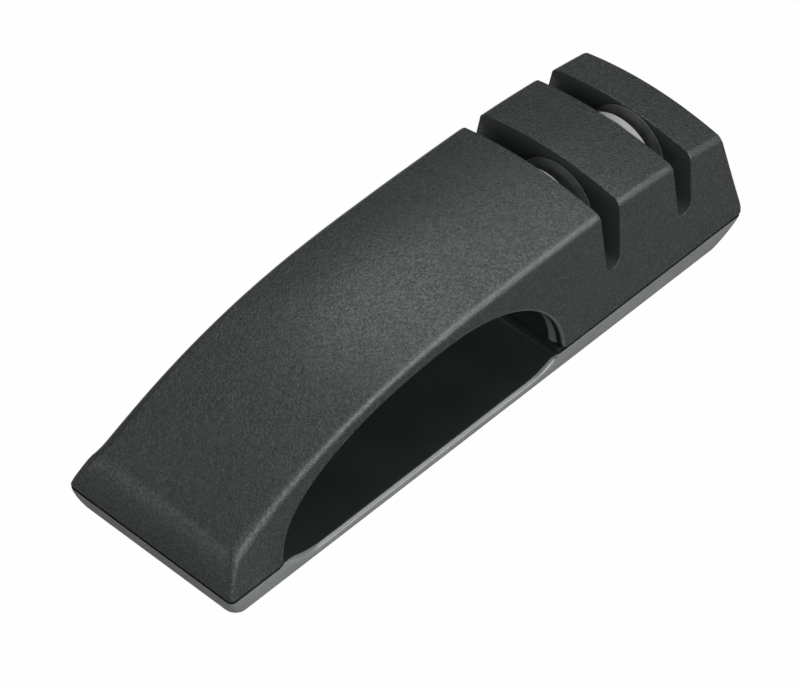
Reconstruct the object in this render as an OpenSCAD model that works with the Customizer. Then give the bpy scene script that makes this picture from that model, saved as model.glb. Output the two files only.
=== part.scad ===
// Hand knife sharpener: arched grip, base, and two blade slots with a pair of wheels in each.
// Units are millimetres. X runs along the body towards the slots, Z points up, the feet stand on Z = 0.

/* [Body] */
// Overall length
body_length = 190; // [170:1:215]
// Overall width, measured at the seam
body_width = 54; // [50:0.5:60]
// Height of the seam between base and top shell
seam_height = 8.8; // [7.5:0.1:11]
// Height of the highest point of the top
crest_height = 44.6; // [43.5:0.1:48]
// Where along the body the top is highest
crest_x = 31.5; // [24:0.5:38]
// Bend radius of the top from the crest to the slot end
head_bend = 334; // [280:2:420]
// How far the top has come down at the grip end
tail_drop = 27.7; // [25:0.1:29]
// How late the top comes down towards the grip end
tail_power = 3.1; // [2.8:0.05:3.4]
// How much lower the top is at its long edges than in the middle
crown = 2.35; // [1.8:0.05:2.8]
// Half the width of the top between its long edges
edge_half = 22.9; // [22.2:0.1:23.6]
// Length of the sloped end face, along the body
head_slope = 8.3; // [7:0.1:11]
// Rounding of the long edges
edge_round = 1.3; // [0.8:0.1:2]
// Wall thickness of the shell
wall = 2.2; // [1.8:0.1:2.6]

/* [Grip opening] */
// Where the opening is highest
grip_x = -15.6; // [-18:0.2:-12]
// Distance of the opening from the grip end
grip_tail_in = 17.9; // [17:0.1:24]
// Reach of the opening towards the slots
grip_reach_head = 39.6; // [35:0.2:41]
// Depth of the grip between the opening and the top
grip_depth = 6.75; // [6.5:0.05:10]
// Thickness of the grip lining
liner_wall = 1.8; // [1.2:0.1:2.2]
// Step between the shell opening and the lining
liner_step = 0.2; // [0.1:0.05:0.5]

/* [Base] */
// Thickness of the base floor
floor_thick = 2.8; // [2.4:0.1:3.4]
// Wall thickness of the base
base_wall = 2.4; // [2:0.1:3]
// How far the base draws in at its sides
base_inset = 1; // [0.5:0.1:2]
// How far the base draws in under the grip end
base_tail_inset = 3; // [2:0.1:5]
// How far the base draws in under the slot end
base_head_inset = 8; // [5:0.1:9]
// Height of the shadow groove along the seam
groove_height = 0.6; // [0.3:0.05:0.8]
// Depth of the shadow groove along the seam
groove_depth = 0.9; // [0.5:0.05:1.1]

/* [Feet] */
// Radius of a foot
foot_r = 4.5; // [3.5:0.1:5]
// How far a foot stands out under the base
foot_proud = 0.8; // [0.5:0.1:1.2]
// How deep a foot sits in the base
foot_sunk = 0.8; // [0.5:0.1:1.1]
// Distance of the feet from the sides
foot_side_in = 9; // [8:0.5:11]
// Distance of the feet from the grip end
foot_tail_in = 11; // [10:0.5:13]
// Distance of the feet from the slot end
foot_head_in = 15.5; // [14:0.5:16]

/* [Screws] */
// Radius of a screw shank
screw_r = 1.5; // [1.3:0.05:1.7]
// Radius of a screw head
screw_head_r = 2.8; // [2.4:0.1:3]
// Height of a screw head
screw_head_h = 2; // [1.5:0.1:2.4]
// Length of a screw shank
screw_length = 11; // [9:0.5:12]
// Distance of the screws from the middle line
screw_y = 10; // [9:0.5:11]
// Distance of the screws from the grip end
screw_tail_in = 10.5; // [10:0.5:11]
// Radius of the screw bosses
boss_r = 3.8; // [3.5:0.1:4.2]

/* [Slots and wheels] */
// Distance of the coarse pair of wheels from the slot end
coarse_in = 51.5; // [50:0.1:53]
// Distance of the fine pair of wheels from the slot end
fine_in = 23.5; // [22.5:0.1:24.5]
// Depth of the slots below the highest point of the top
slot_depth = 22.2; // [20.5:0.1:24]
// Half the width of a slot on its head side
slot_head_half = 2.4; // [2.35:0.05:2.8]
// Half the width of a slot on its grip side, low down
slot_grip_low = 2.6; // [2.4:0.05:3]
// Half the width of a slot on its grip side, at the top
slot_grip_top = 4.8; // [4.6:0.1:5.2]
// Depth of the wheel axles below the highest point of the top
axle_depth = 15; // [14.8:0.1:16]
// How far the wheels sit towards the near side
wheel_shift = 3.4; // [0:0.1:4]
// Radius of a wheel
wheel_r = 12.2; // [11.4:0.1:12.6]
// Thickness of the wheel on the grip side of a slot
grip_wheel_thick = 3.85; // [3.6:0.05:3.9]
// Thickness of the wheel on the head side of a slot
head_wheel_thick = 2.05; // [1.95:0.05:2.1]
// Gap between the two wheels of a pair
wheel_gap = 0.3; // [0.25:0.05:0.4]
// Half the width of the notch between two wheels, at the rims
notch_half = 1.9; // [1.5:0.05:2]
// Grinding angle of each wheel
grind_angle = 20; // [16:0.5:24]
// Radius of an axle
axle_r = 2; // [1.7:0.05:2.2]
// Running clearance between axle and bush
run_gap = 0.05; // [0.03:0.005:0.08]
// Wall thickness of a bush
bush_wall = 1.5; // [1.2:0.05:2]
// Gap between a wheel carrier and the shell, across the body
carrier_gap = 0.4; // [0.2:0.1:1.2]
// Wall thickness of a wheel carrier along the body
carrier_wall = 1.8; // [1.5:0.1:2.2]

/* [Hidden] */
$fn = 48;
body_end = body_length / 2;
side_half = body_width / 2;
head_top_x = body_end - head_slope;
grip_reach_tail = body_end - grip_tail_in + grip_x;
coarse_x = body_end - coarse_in;
fine_x = body_end - fine_in;
room_x = 49 - body_end;
slot_bottom = crest_height - slot_depth;
axle_height = crest_height - axle_depth;
crown_half = 21.5;
end_lip = 0.5;
tail_nose = 5;
nose_power = 1.5;
tail_lip = 2.4;
flare_x = body_end - 9.5;
plan_round = 1.5;
base_z = foot_proud;
floor_z = base_z + floor_thick;
bush_r = axle_r + run_gap;
wheel_clear = 0.2;
cavity_head = slot_head_half;
cavity_grip = wheel_gap / 2 + grip_wheel_thick + wheel_clear;
carrier_head = cavity_head + carrier_wall;
carrier_grip = cavity_grip + carrier_wall;
carrier_length = carrier_grip + carrier_head;
carrier_half = edge_half - wall - carrier_gap;
grip_rise = arch(grip_x) - seam_height - grip_depth;
foot_y = side_half - foot_side_in;
foot_tail_x = foot_tail_in - body_end;
foot_head_x = body_end - foot_head_in;
screw_tail_x = screw_tail_in - body_end;
screw_head_x = (coarse_x + fine_x) / 2;
axle_head_h = 0.8;
axle_head_rim = 1.2;
clip_thick = 0.8;
clip_depth = 0.4;
clip_r = axle_r + 1.4;
fit_gap = 0.05;
side_gap = 0.1;
screw_gap = 0.2;
boss_bore = screw_r + fit_gap;
screw_seat = floor_z + 1.2;

shell_colour = [0.22, 0.24, 0.23];
liner_colour = [0.16, 0.17, 0.17];
base_colour = [0.3, 0.32, 0.31];
rubber_colour = [0.1, 0.1, 0.1];
steel_colour = [0.7, 0.71, 0.72];
carrier_colour = [0.12, 0.13, 0.13];
coarse_colour = [0.86, 0.84, 0.8];
fine_colour = [0.9, 0.9, 0.9];
bush_colour = [0.75, 0.75, 0.72];

// Height of the top along its middle line, before the ends are shaped.
function arch(x) = x >= crest_x
    ? crest_height - pow(x - crest_x, 2) / (2 * head_bend)
    : crest_height - tail_drop * pow((crest_x - x) / (crest_x + body_end), tail_power);

// Share of the full height that is left at x on the sloped end face.
function end_share(x) = x <= head_top_x ? 1 : (body_end - x) / (body_end - head_top_x);

// How much the sloped nose takes off the top at the grip end.
function nose(x) = let (t = min(1, (x + body_end) / tail_nose))
    (arch(-body_end) - seam_height - tail_lip) * pow(1 - t, nose_power);

// Height of the middle line with both ends shaped.
function crest(x) = seam_height + end_lip * (1 - end_share(x))
    + (arch(min(x, head_top_x)) - seam_height) * end_share(x) - nose(x);

// Crown of the top at x, fading towards the grip end.
function crown_rate(x) = crown / pow(crown_half, 2) * (x < 0 ? max(0.25, 1 + x / 150) : 1) * end_share(x);

// Half width of the body at the seam, with rounded corners in plan.
function seam_half(x) = let (d = max(0, abs(x) - body_end + plan_round))
    side_half - plan_round + sqrt(max(0, pow(plan_round, 2) - pow(d, 2)));

// Half width of the top, which widens over the last stretch of each end.
function top_half(x) = let (tail = max(0, -x - flare_x) / (body_end - flare_x), s = seam_half(x))
    min(s - 0.05, edge_half + (side_half - 0.6 - edge_half) * pow(tail, 2)
        + (side_half - edge_half) * (1 - end_share(x)) - (side_half - s));

// Rounding of the long edge at x, growing along the grip and crisper again at its end.
function rounding(x) = let (grip = max(0, -20 - x) / (body_end - 20),
        tail = max(0, -x - flare_x) / (body_end - flare_x))
    edge_round + 2 * pow(grip, 2) - 1.5 * pow(tail, 2);

// Height of the long edge of the top at x.
function edge(x) = crest(x) - crown_rate(x) * pow(top_half(x), 2);

// One side of a cross-section: seam, rounded edge, crown.
function half_section(x) = let (
        top = crest(x),
        rate = crown_rate(x),
        ye = top_half(x),
        ze = edge(x),
        ys = seam_half(x),
        size = min(rounding(x), 0.8 * (ze - seam_height), 0.5 * ye),
        slope = (ys - ye) / max(0.2, ze - seam_height),
        za = ze - size,
        ya = ye + slope * size,
        yb = ye - size,
        zb = top - rate * yb * yb)
    concat([[ys, seam_height]],
        [for (i = [0 : 3]) let (t = i / 3, a = pow(1 - t, 2), b = 1.4 * t * (1 - t), c = pow(t, 2))
            [(a * ya + b * ye + c * yb) / (a + b + c), (a * za + b * ze + c * zb) / (a + b + c)]],
        [for (i = [1 : 3]) let (y = yb * (1 - i / 3)) [y, top - rate * y * y]]);

// A whole cross-section as points in space, from one seam edge over the top to the other.
function section(x) = let (h = half_section(x), n = len(h))
    concat([for (p = h) [x, -p[0], p[1]]], [for (i = [n - 2 : -1 : 0]) [x, h[i][0], h[i][1]]]);

// Places of the cross-sections, closer together at the ends.
function stations() = concat(
    [for (d = [0, 0.3, 1, 2.2, 4, 7, 11, 16]) d - body_end],
    [for (i = [0 : 16]) let (a = 22 - body_end, b = head_top_x - 6) a + (b - a) * i / 16],
    [head_top_x],
    [for (t = [0.4, 0.8, 1]) head_top_x + (body_end - head_top_x) * t]);

// The outer form of the body above the seam.
module skin() {
    places = stations();
    rings = [for (x = places) section(x)];
    m = len(rings[0]);
    n = len(rings);
    points = [for (r = rings) for (p = r) p];
    over = [for (i = [0 : n - 2]) for (j = [0 : m - 2]) let (a = i * m + j, b = a + m)
        for (f = [[a, a + 1, b], [b, a + 1, b + 1]]) f];
    under = [for (i = [0 : n - 2]) let (a = i * m, b = a + m)
        for (f = [[a, b, a + m - 1], [b, b + m - 1, a + m - 1]]) f];
    tail = [for (j = [1 : m - 2]) [0, j + 1, j]];
    e = (n - 1) * m;
    head = [for (j = [1 : m - 2]) [e, e + j, e + j + 1]];
    polyhedron(points, concat(over, under, tail, head), convexity = 6);
}

// The hollow of the shell: a drafted room over the grip and the slots, a narrower one in the grip end.
module hollow(gap = 0) {
    low = seam_height - 2;
    high = crest_height;
    tail_x = wall + 1.9 - body_end;
    end_x = body_end - 1.15 * wall - gap;
    side = (side_half - edge_half) / (arch(crest_x) - crown - seam_height);
    half = side_half - wall - gap;
    intersection() {
        across(side_half) polygon(concat(
            [[room_x, low]],
            [for (i = [0 : 10]) let (x = room_x + (head_top_x - wall - room_x) * i / 10)
                [x, edge(x) - wall - gap]],
            [[end_x, seam_height], [end_x, low]]));
        translate([-body_end, 0, 0]) rotate([90, 0, 90]) linear_extrude(body_length) polygon([
            [-half - side * 2, low], [half + side * 2, low],
            [half - side * (high - seam_height), high], [side * (high - seam_height) - half, high]]);
    }
    across(edge_half - wall - 0.2 - gap) polygon(concat(
        [[tail_x, low]],
        [for (i = [0 : 7]) let (x = tail_x + (room_x + 2 - tail_x) * i / 7)
            [x, edge(x) - wall - gap]],
        [[room_x + 2, low]]));
}

// Outline of the grip opening, widened by out, from the grip end over the top to the slot end.
function grip_arch(out, steps = 40) = [for (i = [0 : steps]) let (
        a = 180 - 180 * i / steps,
        reach = cos(a) < 0 ? grip_reach_tail : grip_reach_head)
    [grip_x + (reach + out) * cos(a), seam_height + (grip_rise + out) * sin(a)]];

// A flat outline in X and Z carried across the body.
module across(half) {
    translate([0, half, 0]) rotate([90, 0, 0]) linear_extrude(2 * half) children();
}

// Outline of a slot around x, seen from the side: round below, and leaning on its grip side.
module slot_outline(x, head_half, grip_low, grip_top) {
    r = (head_half + grip_low) / 2;
    cx = x + (head_half - grip_low) / 2;
    cz = slot_bottom + r;
    top = crest_height + 6;
    rise = (top - cz) / (crest_height - 2 - cz);
    polygon(concat(
        [for (i = [0 : 12]) [cx - r * cos(180 * i / 12), cz - r * sin(180 * i / 12)]],
        [[cx + r, top], [x - grip_low - (grip_top - grip_low) * rise, top]]));
}

// The cut of a blade slot through the shell.
module blade_slot(x) {
    across(body_width) slot_outline(x, slot_head_half, slot_grip_low, slot_grip_top);
}

// A rounded rectangle, thin, for the outline of the base at one height.
module plate(x0, x1, half, r, z, thick = 0.01) {
    translate([0, 0, z]) linear_extrude(thick) hull() {
        for (x = [x0 + r, x1 - r]) for (y = [r - half, half - r]) translate([x, y]) circle(r, $fn = 24);
    }
}

// Places of the screws and feet, by side.
module each_screw() {
    for (x = [screw_tail_x, screw_head_x]) for (y = [-screw_y, screw_y]) translate([x, y, 0]) children();
}

module each_foot() {
    for (x = [foot_tail_x, foot_head_x]) for (y = [-foot_y, foot_y]) translate([x, y, 0]) children();
}

// Textured cover with the grip opening, both blade slots and the screw bosses.
module top_shell() {
    color(shell_colour) difference() {
        skin();
        difference() {
            hollow();
            each_screw() translate([0, 0, seam_height]) cylinder(r = boss_r, h = crest_height);
        }
        across(body_width) polygon(concat(
            [[grip_x - grip_reach_tail, seam_height - 2]], grip_arch(0),
            [[grip_x + grip_reach_head, seam_height - 2]]));
        blade_slot(coarse_x);
        blade_slot(fine_x);
        each_screw() translate([0, 0, seam_height - 1]) cylinder(r = boss_bore, h = screw_length - 1);
    }
}

// Smooth lining of the grip opening, between the side walls of the shell.
module grip_liner() {
    inner = grip_arch(liner_step);
    outer = grip_arch(liner_step + liner_wall);
    color(liner_colour) intersection() {
        across(body_width) polygon(concat(outer, [for (i = [len(inner) - 1 : -1 : 0]) inner[i]]));
        hollow(liner_step);
    }
}

// Base tray: grip floor in the middle, hollow at both ends.
module base() {
    mid = base_z + 0.4 * (seam_height - base_z);
    tail_in = grip_x - grip_reach_tail - liner_wall - 1.2;
    head_in = grip_x + grip_reach_head + liner_wall + 1.2;
    scoop_tail = grip_x - grip_reach_tail - liner_step;
    scoop_head = grip_x + grip_reach_head + liner_step;
    rise = seam_height - floor_z;
    color(base_colour) difference() {
        union() {
            difference() {
                hull() {
                    plate(-body_end, body_end, side_half, plan_round, seam_height - 0.01);
                    plate(-body_end + 0.55 * base_tail_inset, body_end - 0.45 * base_head_inset,
                        side_half - 0.5 * base_inset, 2.5, mid);
                    plate(-body_end + base_tail_inset, body_end - base_head_inset,
                        side_half - base_inset, 3.5, base_z);
                }
                plate(-body_end + base_tail_inset + base_wall, tail_in,
                    side_half - base_inset - base_wall, 2, floor_z, 20);
                plate(head_in, body_end - base_head_inset - base_wall + 1,
                    side_half - base_inset - base_wall, 2, floor_z, 20);
            }
            each_screw() translate([0, 0, base_z]) cylinder(r = boss_r, h = seam_height - base_z);
        }
        across(body_width) polygon([
            [scoop_tail, seam_height + 1], [scoop_tail, seam_height],
            [scoop_tail + 0.45 * rise, floor_z + 0.78 * rise], [scoop_tail + 1.15 * rise, floor_z + 0.42 * rise],
            [scoop_tail + 1.9 * rise, floor_z + 0.12 * rise], [scoop_tail + 2.8 * rise, floor_z],
            [scoop_head - 1.7 * rise, floor_z],
            [scoop_head - 1 * rise, floor_z + 0.2 * rise], [scoop_head - 0.4 * rise, floor_z + 0.6 * rise],
            [scoop_head, seam_height], [scoop_head, seam_height + 1]]);
        difference() {
            translate([-body_length, -body_width, seam_height - groove_height])
                cube([2 * body_length, 2 * body_width, 4]);
            plate(-body_end + groove_depth, body_end - groove_depth, side_half - groove_depth,
                plan_round, seam_height - groove_height - 1, 8);
        }
        each_foot() translate([0, 0, base_z - 1]) cylinder(r = foot_r + fit_gap, h = foot_sunk + 1);
        each_screw() cylinder(r = screw_r + screw_gap, h = seam_height + 1);
        each_screw() translate([0, 0, base_z - 1])
            cylinder(r = screw_head_r + screw_gap, h = screw_seat - base_z + 1);
    }
}

// One rubber foot.
module foot(x, y) {
    color(rubber_colour) translate([x, y, 0]) cylinder(r = foot_r, h = foot_proud + foot_sunk);
}

module foot_tail_left() { foot(foot_tail_x, foot_y); }
module foot_tail_right() { foot(foot_tail_x, -foot_y); }
module foot_head_left() { foot(foot_head_x, foot_y); }
module foot_head_right() { foot(foot_head_x, -foot_y); }

// One screw, driven up from below.
module screw(x, y) {
    color(steel_colour) translate([x, y, screw_seat]) difference() {
        union() {
            translate([0, 0, -screw_head_h]) cylinder(r = screw_head_r, h = screw_head_h);
            cylinder(r = screw_r, h = screw_length);
        }
        translate([-screw_head_r * 0.6, -0.35, -screw_head_h - 1]) cube([screw_head_r * 1.2, 0.7, 1.9]);
        translate([-0.35, -screw_head_r * 0.6, -screw_head_h - 1]) cube([0.7, screw_head_r * 1.2, 1.9]);
    }
}

module screw_tail_left() { screw(screw_tail_x, screw_y); }
module screw_tail_right() { screw(screw_tail_x, -screw_y); }
module screw_head_left() { screw(screw_head_x, screw_y); }
module screw_head_right() { screw(screw_head_x, -screw_y); }

// Something turned about a wheel axle, with the X axis as its own axis.
module on_axle(x) {
    translate([x, -wheel_shift, axle_height]) rotate([0, 90, 0]) children();
}

// Narrow box that carries one pair of wheels and guides the blade.
module carrier(x) {
    side = 1.6;
    top = edge(x + carrier_head) - wall - 0.5;
    cavity = cavity_grip + cavity_head;
    shelf = axle_height - wheel_r - 1.2;
    color(carrier_colour) difference() {
        translate([x - carrier_grip, -carrier_half, floor_z])
            cube([carrier_length, 2 * carrier_half, top - floor_z]);
        translate([x - cavity_grip, -carrier_half + side, shelf])
            cube([cavity, 2 * (carrier_half - side), crest_height]);
        translate([x - cavity_grip, -carrier_half + side, floor_z - 1])
            cube([cavity, 2 * (carrier_half - side), shelf - 1.6 - floor_z + 1]);
        across(body_width) slot_outline(x, slot_head_half, slot_head_half, slot_head_half);
        on_axle(x - carrier_grip - 1) cylinder(r = axle_r + fit_gap, h = carrier_length + 2);
    }
}

// Headed pin, grooved for its clip.
module axle(x) {
    groove_start = carrier_length + fit_gap;
    groove_end = groove_start + clip_thick + fit_gap;
    pin_end = groove_end + 0.8;
    chamfer = 0.3;
    color(steel_colour) on_axle(x - carrier_grip) rotate_extrude() polygon([
        [0, -axle_head_h], [axle_r + axle_head_rim, -axle_head_h], [axle_r + axle_head_rim, 0], [axle_r, 0],
        [axle_r, groove_start], [axle_r - clip_depth, groove_start],
        [axle_r - clip_depth, groove_end], [axle_r, groove_end],
        [axle_r, pin_end - chamfer], [axle_r - chamfer, pin_end], [0, pin_end]]);
}

// Spring clip in the groove of the pin.
module clip(x) {
    inner = axle_r - clip_depth;
    mouth = 0.85 * inner;
    color(steel_colour) on_axle(x + carrier_head + 1.5 * fit_gap) difference() {
        cylinder(r = clip_r, h = clip_thick);
        translate([0, 0, -1]) cylinder(r = inner, h = clip_thick + 2);
        translate([-mouth, 0, -1]) cube([2 * mouth, clip_r + 1, clip_thick + 2]);
    }
}

// Grinding wheel, bevelled where it faces its partner; side is 1 towards the head, -1 towards the grip.
module wheel(x, side, tint) {
    inner = wheel_gap / 2;
    outer = inner + (side < 0 ? grip_wheel_thick : head_wheel_thick);
    deep = (notch_half - inner) / tan(grind_angle);
    color(tint) on_axle(x) mirror([0, 0, side < 0 ? 1 : 0]) rotate_extrude() polygon([
        [bush_r + bush_wall, inner], [wheel_r - deep, inner], [wheel_r, notch_half],
        [wheel_r, outer], [bush_r + bush_wall, outer]]);
}

// Plain bush inside a wheel, a little longer than the wheel is thick.
module bush(x, side) {
    start = side_gap / 2;
    end = (side < 0 ? cavity_grip : cavity_head) - side_gap;
    color(bush_colour) on_axle(x) mirror([0, 0, side < 0 ? 1 : 0]) translate([0, 0, start]) difference() {
        cylinder(r = bush_r + bush_wall, h = end - start);
        translate([0, 0, -1]) cylinder(r = bush_r, h = end + 2);
    }
}

module coarse_carrier() { carrier(coarse_x); }
module coarse_axle() { axle(coarse_x); }
module coarse_clip() { clip(coarse_x); }
module coarse_wheel_grip() { wheel(coarse_x, -1, coarse_colour); }
module coarse_bush_grip() { bush(coarse_x, -1); }
module coarse_wheel_head() { wheel(coarse_x, 1, coarse_colour); }
module coarse_bush_head() { bush(coarse_x, 1); }
module fine_carrier() { carrier(fine_x); }
module fine_axle() { axle(fine_x); }
module fine_clip() { clip(fine_x); }
module fine_wheel_grip() { wheel(fine_x, -1, fine_colour); }
module fine_bush_grip() { bush(fine_x, -1); }
module fine_wheel_head() { wheel(fine_x, 1, fine_colour); }
module fine_bush_head() { bush(fine_x, 1); }

top_shell();
grip_liner();
base();
foot_tail_left();
foot_tail_right();
foot_head_left();
foot_head_right();
screw_tail_left();
screw_tail_right();
screw_head_left();
screw_head_right();
coarse_carrier();
coarse_axle();
coarse_clip();
coarse_wheel_grip();
coarse_bush_grip();
coarse_wheel_head();
coarse_bush_head();
fine_carrier();
fine_axle();
fine_clip();
fine_wheel_grip();
fine_bush_grip();
fine_wheel_head();
fine_bush_head();
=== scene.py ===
"""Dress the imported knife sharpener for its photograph.

Shapes are worked out in millimetres and become metres when a mesh is made.
"""
import logging
import math
from collections.abc import Callable, Iterable, Sequence
from dataclasses import dataclass, replace
from enum import Enum, IntEnum
from typing import NamedTuple

import bmesh
import bpy
import numpy as np
from mathutils import Matrix, Vector
from mathutils.geometry import delaunay_2d_cdt


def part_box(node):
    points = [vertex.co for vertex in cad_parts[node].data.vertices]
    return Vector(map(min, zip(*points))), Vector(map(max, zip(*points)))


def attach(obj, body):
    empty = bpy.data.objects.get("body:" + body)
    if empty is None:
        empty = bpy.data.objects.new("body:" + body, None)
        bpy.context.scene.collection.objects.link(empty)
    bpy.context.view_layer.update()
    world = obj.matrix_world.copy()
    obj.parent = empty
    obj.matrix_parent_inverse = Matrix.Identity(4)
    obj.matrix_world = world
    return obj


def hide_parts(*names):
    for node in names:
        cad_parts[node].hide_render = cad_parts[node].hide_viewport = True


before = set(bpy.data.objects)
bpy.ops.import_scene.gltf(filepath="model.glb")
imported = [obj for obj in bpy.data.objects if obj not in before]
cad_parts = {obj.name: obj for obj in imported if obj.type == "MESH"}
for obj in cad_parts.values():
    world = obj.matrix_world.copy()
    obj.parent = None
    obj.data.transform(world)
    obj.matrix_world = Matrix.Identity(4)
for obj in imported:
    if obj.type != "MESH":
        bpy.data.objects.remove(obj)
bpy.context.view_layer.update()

MM = 0.001
HOUSING = "housing"
ARC_WEIGHT = 1.42
LOG = logging.getLogger("knife_sharpener")

Pair = tuple[float, float]
Triple = tuple[float, float, float]
Colour = Triple


class Faces(IntEnum):
    """Which of a piece's finishes a face has."""

    OUTSIDE = 0
    # Dark colour painted on faces that lie in shade: cut walls, the grip floor and lining, the seam's groove
    # and the hollow ends.
    INSIDE = 1
    # Lighter, glossier colour on the opening's edge, a painted highlight line.
    RIM = 2
    SLOT = 3


# Small geometry helpers

def box_mm(node: str) -> tuple[Vector, Vector]:
    """Give a CAD node's box in millimetres.

    Args:
        node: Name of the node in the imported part.

    Returns:
        Its lowest and highest corners.
    """
    low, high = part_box(node)
    return Vector(low) / MM, Vector(high) / MM


def spread(first: float, last: float, parts: int) -> list[float]:
    """Divide a stretch into equal parts and give all their ends."""
    return [first + (last - first) * k / parts for k in range(parts + 1)]


def ring(centre: Vector, radius: float, parts: int = 28) -> list[Vector]:
    """Give points on a level circle."""
    angles = [2 * math.pi * k / parts for k in range(parts)]
    return [centre + radius * Vector((math.cos(a), math.sin(a), 0)) for a in angles]


def conic(first: Vector, corner: Vector, last: Vector, parts: int) -> list[Vector]:
    """Round a corner with a conic that is close to an arc.

    Args:
        first: Point where the rounding leaves one face.
        corner: The sharp corner it replaces.
        last: Point where it meets the other face.
        parts: Number of segments.

    Returns:
        The points from first to last.
    """
    points = []
    for t in spread(0, 1, parts):
        weights = ((1 - t) ** 2, ARC_WEIGHT * t * (1 - t), t ** 2)
        total = sum(weights)
        points.append((first * weights[0] + corner * weights[1] + last * weights[2]) / total)
    return points


def rounded_edge(point: "RimPoint", start: Vector, edge: Vector, normal: Vector,
                 parts: int) -> tuple[list[Vector], Vector]:
    """Round the edge between a skin and a cut.

    Args:
        point: The edge's rim point.
        start: Where the rounding leaves the skin.
        edge: The sharp edge.
        normal: The skin's outward direction there.
        parts: Number of segments.

    Returns:
        The rounding's points, and the direction into the material along the cut.
    """
    inward = -(normal - point.out * normal.dot(point.out)).normalized()
    return conic(start, edge, edge + inward * point.size, parts), inward


def rounded_profile(corners: Sequence[Triple], parts: int = 4) -> list[Vector]:
    """Round the corners of a closed profile.

    Args:
        corners: Place along the axis, radius, and size of the rounding, for each corner.
        parts: Segments in each rounding.

    Returns:
        Points of the rounded profile, as (along, radius) vectors.
    """
    points: list[Vector] = []
    count = len(corners)
    for k, (along, radius, size) in enumerate(corners):
        here = Vector((along, radius))
        before = Vector(corners[k - 1][:2]) - here
        after = Vector(corners[(k + 1) % count][:2]) - here
        if size <= 0:
            points.append(here)
            continue
        points += conic(here + before.normalized() * size, here, here + after.normalized() * size, parts)
    return points


class Draft:
    """Points and faces of one piece, before they become a mesh."""

    def __init__(self) -> None:
        """Start with nothing drawn."""
        self.points: list[Vector] = []
        self.faces: list[tuple[int, ...]] = []
        self.finish_of: dict[int, Faces] = {}

    def mark_from(self, start: int) -> None:
        """Give all faces from a number the painted-shade finish, a dark colour for faces that lie in shade.
        """
        self.finish_of.update(dict.fromkeys(range(start, len(self.faces)), Faces.INSIDE))

    def add(self, points: Iterable[Vector]) -> list[int]:
        """Add points and give their numbers."""
        start = len(self.points)
        self.points.extend(points)
        return list(range(start, len(self.points)))

    def cover(self, numbers: Sequence[int], faces: Iterable[Sequence[int]]) -> None:
        """Add faces that count in a list of point numbers."""
        self.faces += [tuple(numbers[k] for k in face) for face in faces]

    def strip(self, rows: Sequence[Sequence[int]], closed: bool = False) -> None:
        """Join neighbouring rows of points with quads.

        Args:
            rows: Rows of point numbers, all of the same length.
            closed: Whether the last point of a row joins its first.
        """
        for first, second in zip(rows, rows[1:]):
            count = len(first)
            for k in range(count if closed else count - 1):
                after = (k + 1) % count
                self.faces.append((first[k], first[after], second[after], second[k]))

    def level_fill(self, outline: Sequence[int], holes: Sequence[Sequence[int]] = ()) -> None:
        """Fill a level outline that may have holes.

        Args:
            outline: Numbers of the outline's points, in order.
            holes: Numbers of each hole's points, in order.
        """
        loops = [list(outline)] + [list(hole) for hole in holes]
        flat = [np.array([self.points[n].xy for n in loop]) for loop in loops]
        numbers = [n for loop in loops for n in loop]
        self.cover(numbers, trimmed_triangles(np.concatenate(flat), flat[0], flat[1:]))

    def finish(self, name: str, crease: float = 38.0) -> bpy.types.Object:
        """Make the mesh object.

        Args:
            name: Name of the piece.
            crease: Angle in degrees above which an edge stays sharp.

        Returns:
            The new object, in metres.
        """
        mesh = bpy.data.meshes.new(name)
        mesh.from_pydata([point * MM for point in self.points], [], self.faces)
        for number, finish in self.finish_of.items():
            mesh.polygons[number].material_index = finish
        work = bmesh.new()
        work.from_mesh(mesh)
        bmesh.ops.remove_doubles(work, verts=work.verts, dist=1e-6)
        bmesh.ops.dissolve_degenerate(work, edges=work.edges, dist=1e-7)
        bmesh.ops.recalc_face_normals(work, faces=work.faces)
        work.to_mesh(mesh)
        work.free()
        mesh.shade_smooth()
        mesh.set_sharp_from_angle(angle=math.radians(crease))
        piece = bpy.data.objects.new(name, mesh)
        bpy.context.scene.collection.objects.link(piece)
        weighted = piece.modifiers.new("even_normals", "WEIGHTED_NORMAL")
        weighted.keep_sharp = True
        return piece


def lathe(draft: Draft, profile: Sequence[Vector], place: Callable[[float, float, float], Vector],
          turns: int = 96) -> None:
    """Turn a closed profile round an axis.

    Args:
        draft: Piece that takes the faces.
        profile: Points as (along, radius).
        place: Gives the point for a place along the axis, a radius and an angle.
        turns: Number of segments round the axis.
    """
    rows = []
    for k in range(turns):
        angle = 2 * math.pi * k / turns
        rows.append(draft.add(place(point.x, point.y, angle) for point in profile))
    draft.strip(rows + rows[:1], closed=True)


# Surfaces that are trimmed by outlines

def inside(points: np.ndarray, loop: np.ndarray) -> np.ndarray:
    """Tell which points lie inside a closed loop.

    Args:
        points: Array of flat points.
        loop: Array of the loop's points, in order.

    Returns:
        One truth value for each point.
    """
    x, y = points[:, :1], points[:, 1:]
    ends = np.roll(loop, -1, axis=0)
    crosses = (loop[:, 1] > y) != (ends[:, 1] > y)
    height = ends[:, 1] - loop[:, 1]
    height = np.where(height == 0, 1, height)
    at = loop[:, 0] + (y - loop[:, 1]) * (ends[:, 0] - loop[:, 0]) / height
    return (crosses & (x < at)).sum(axis=1) % 2 == 1


def distance(points: np.ndarray, loop: np.ndarray) -> np.ndarray:
    """Measure how far points are from a closed loop.

    Args:
        points: Array of flat points.
        loop: Array of the loop's points, in order.

    Returns:
        The distance of each point.
    """
    step = np.roll(loop, -1, axis=0) - loop
    length = np.maximum((step ** 2).sum(axis=1), 1e-12)
    offset = points[:, None, :] - loop
    share = np.clip((offset * step).sum(axis=2) / length, 0, 1)
    gap = offset - share[..., None] * step
    return np.sqrt((gap ** 2).sum(axis=2)).min(axis=1)


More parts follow.
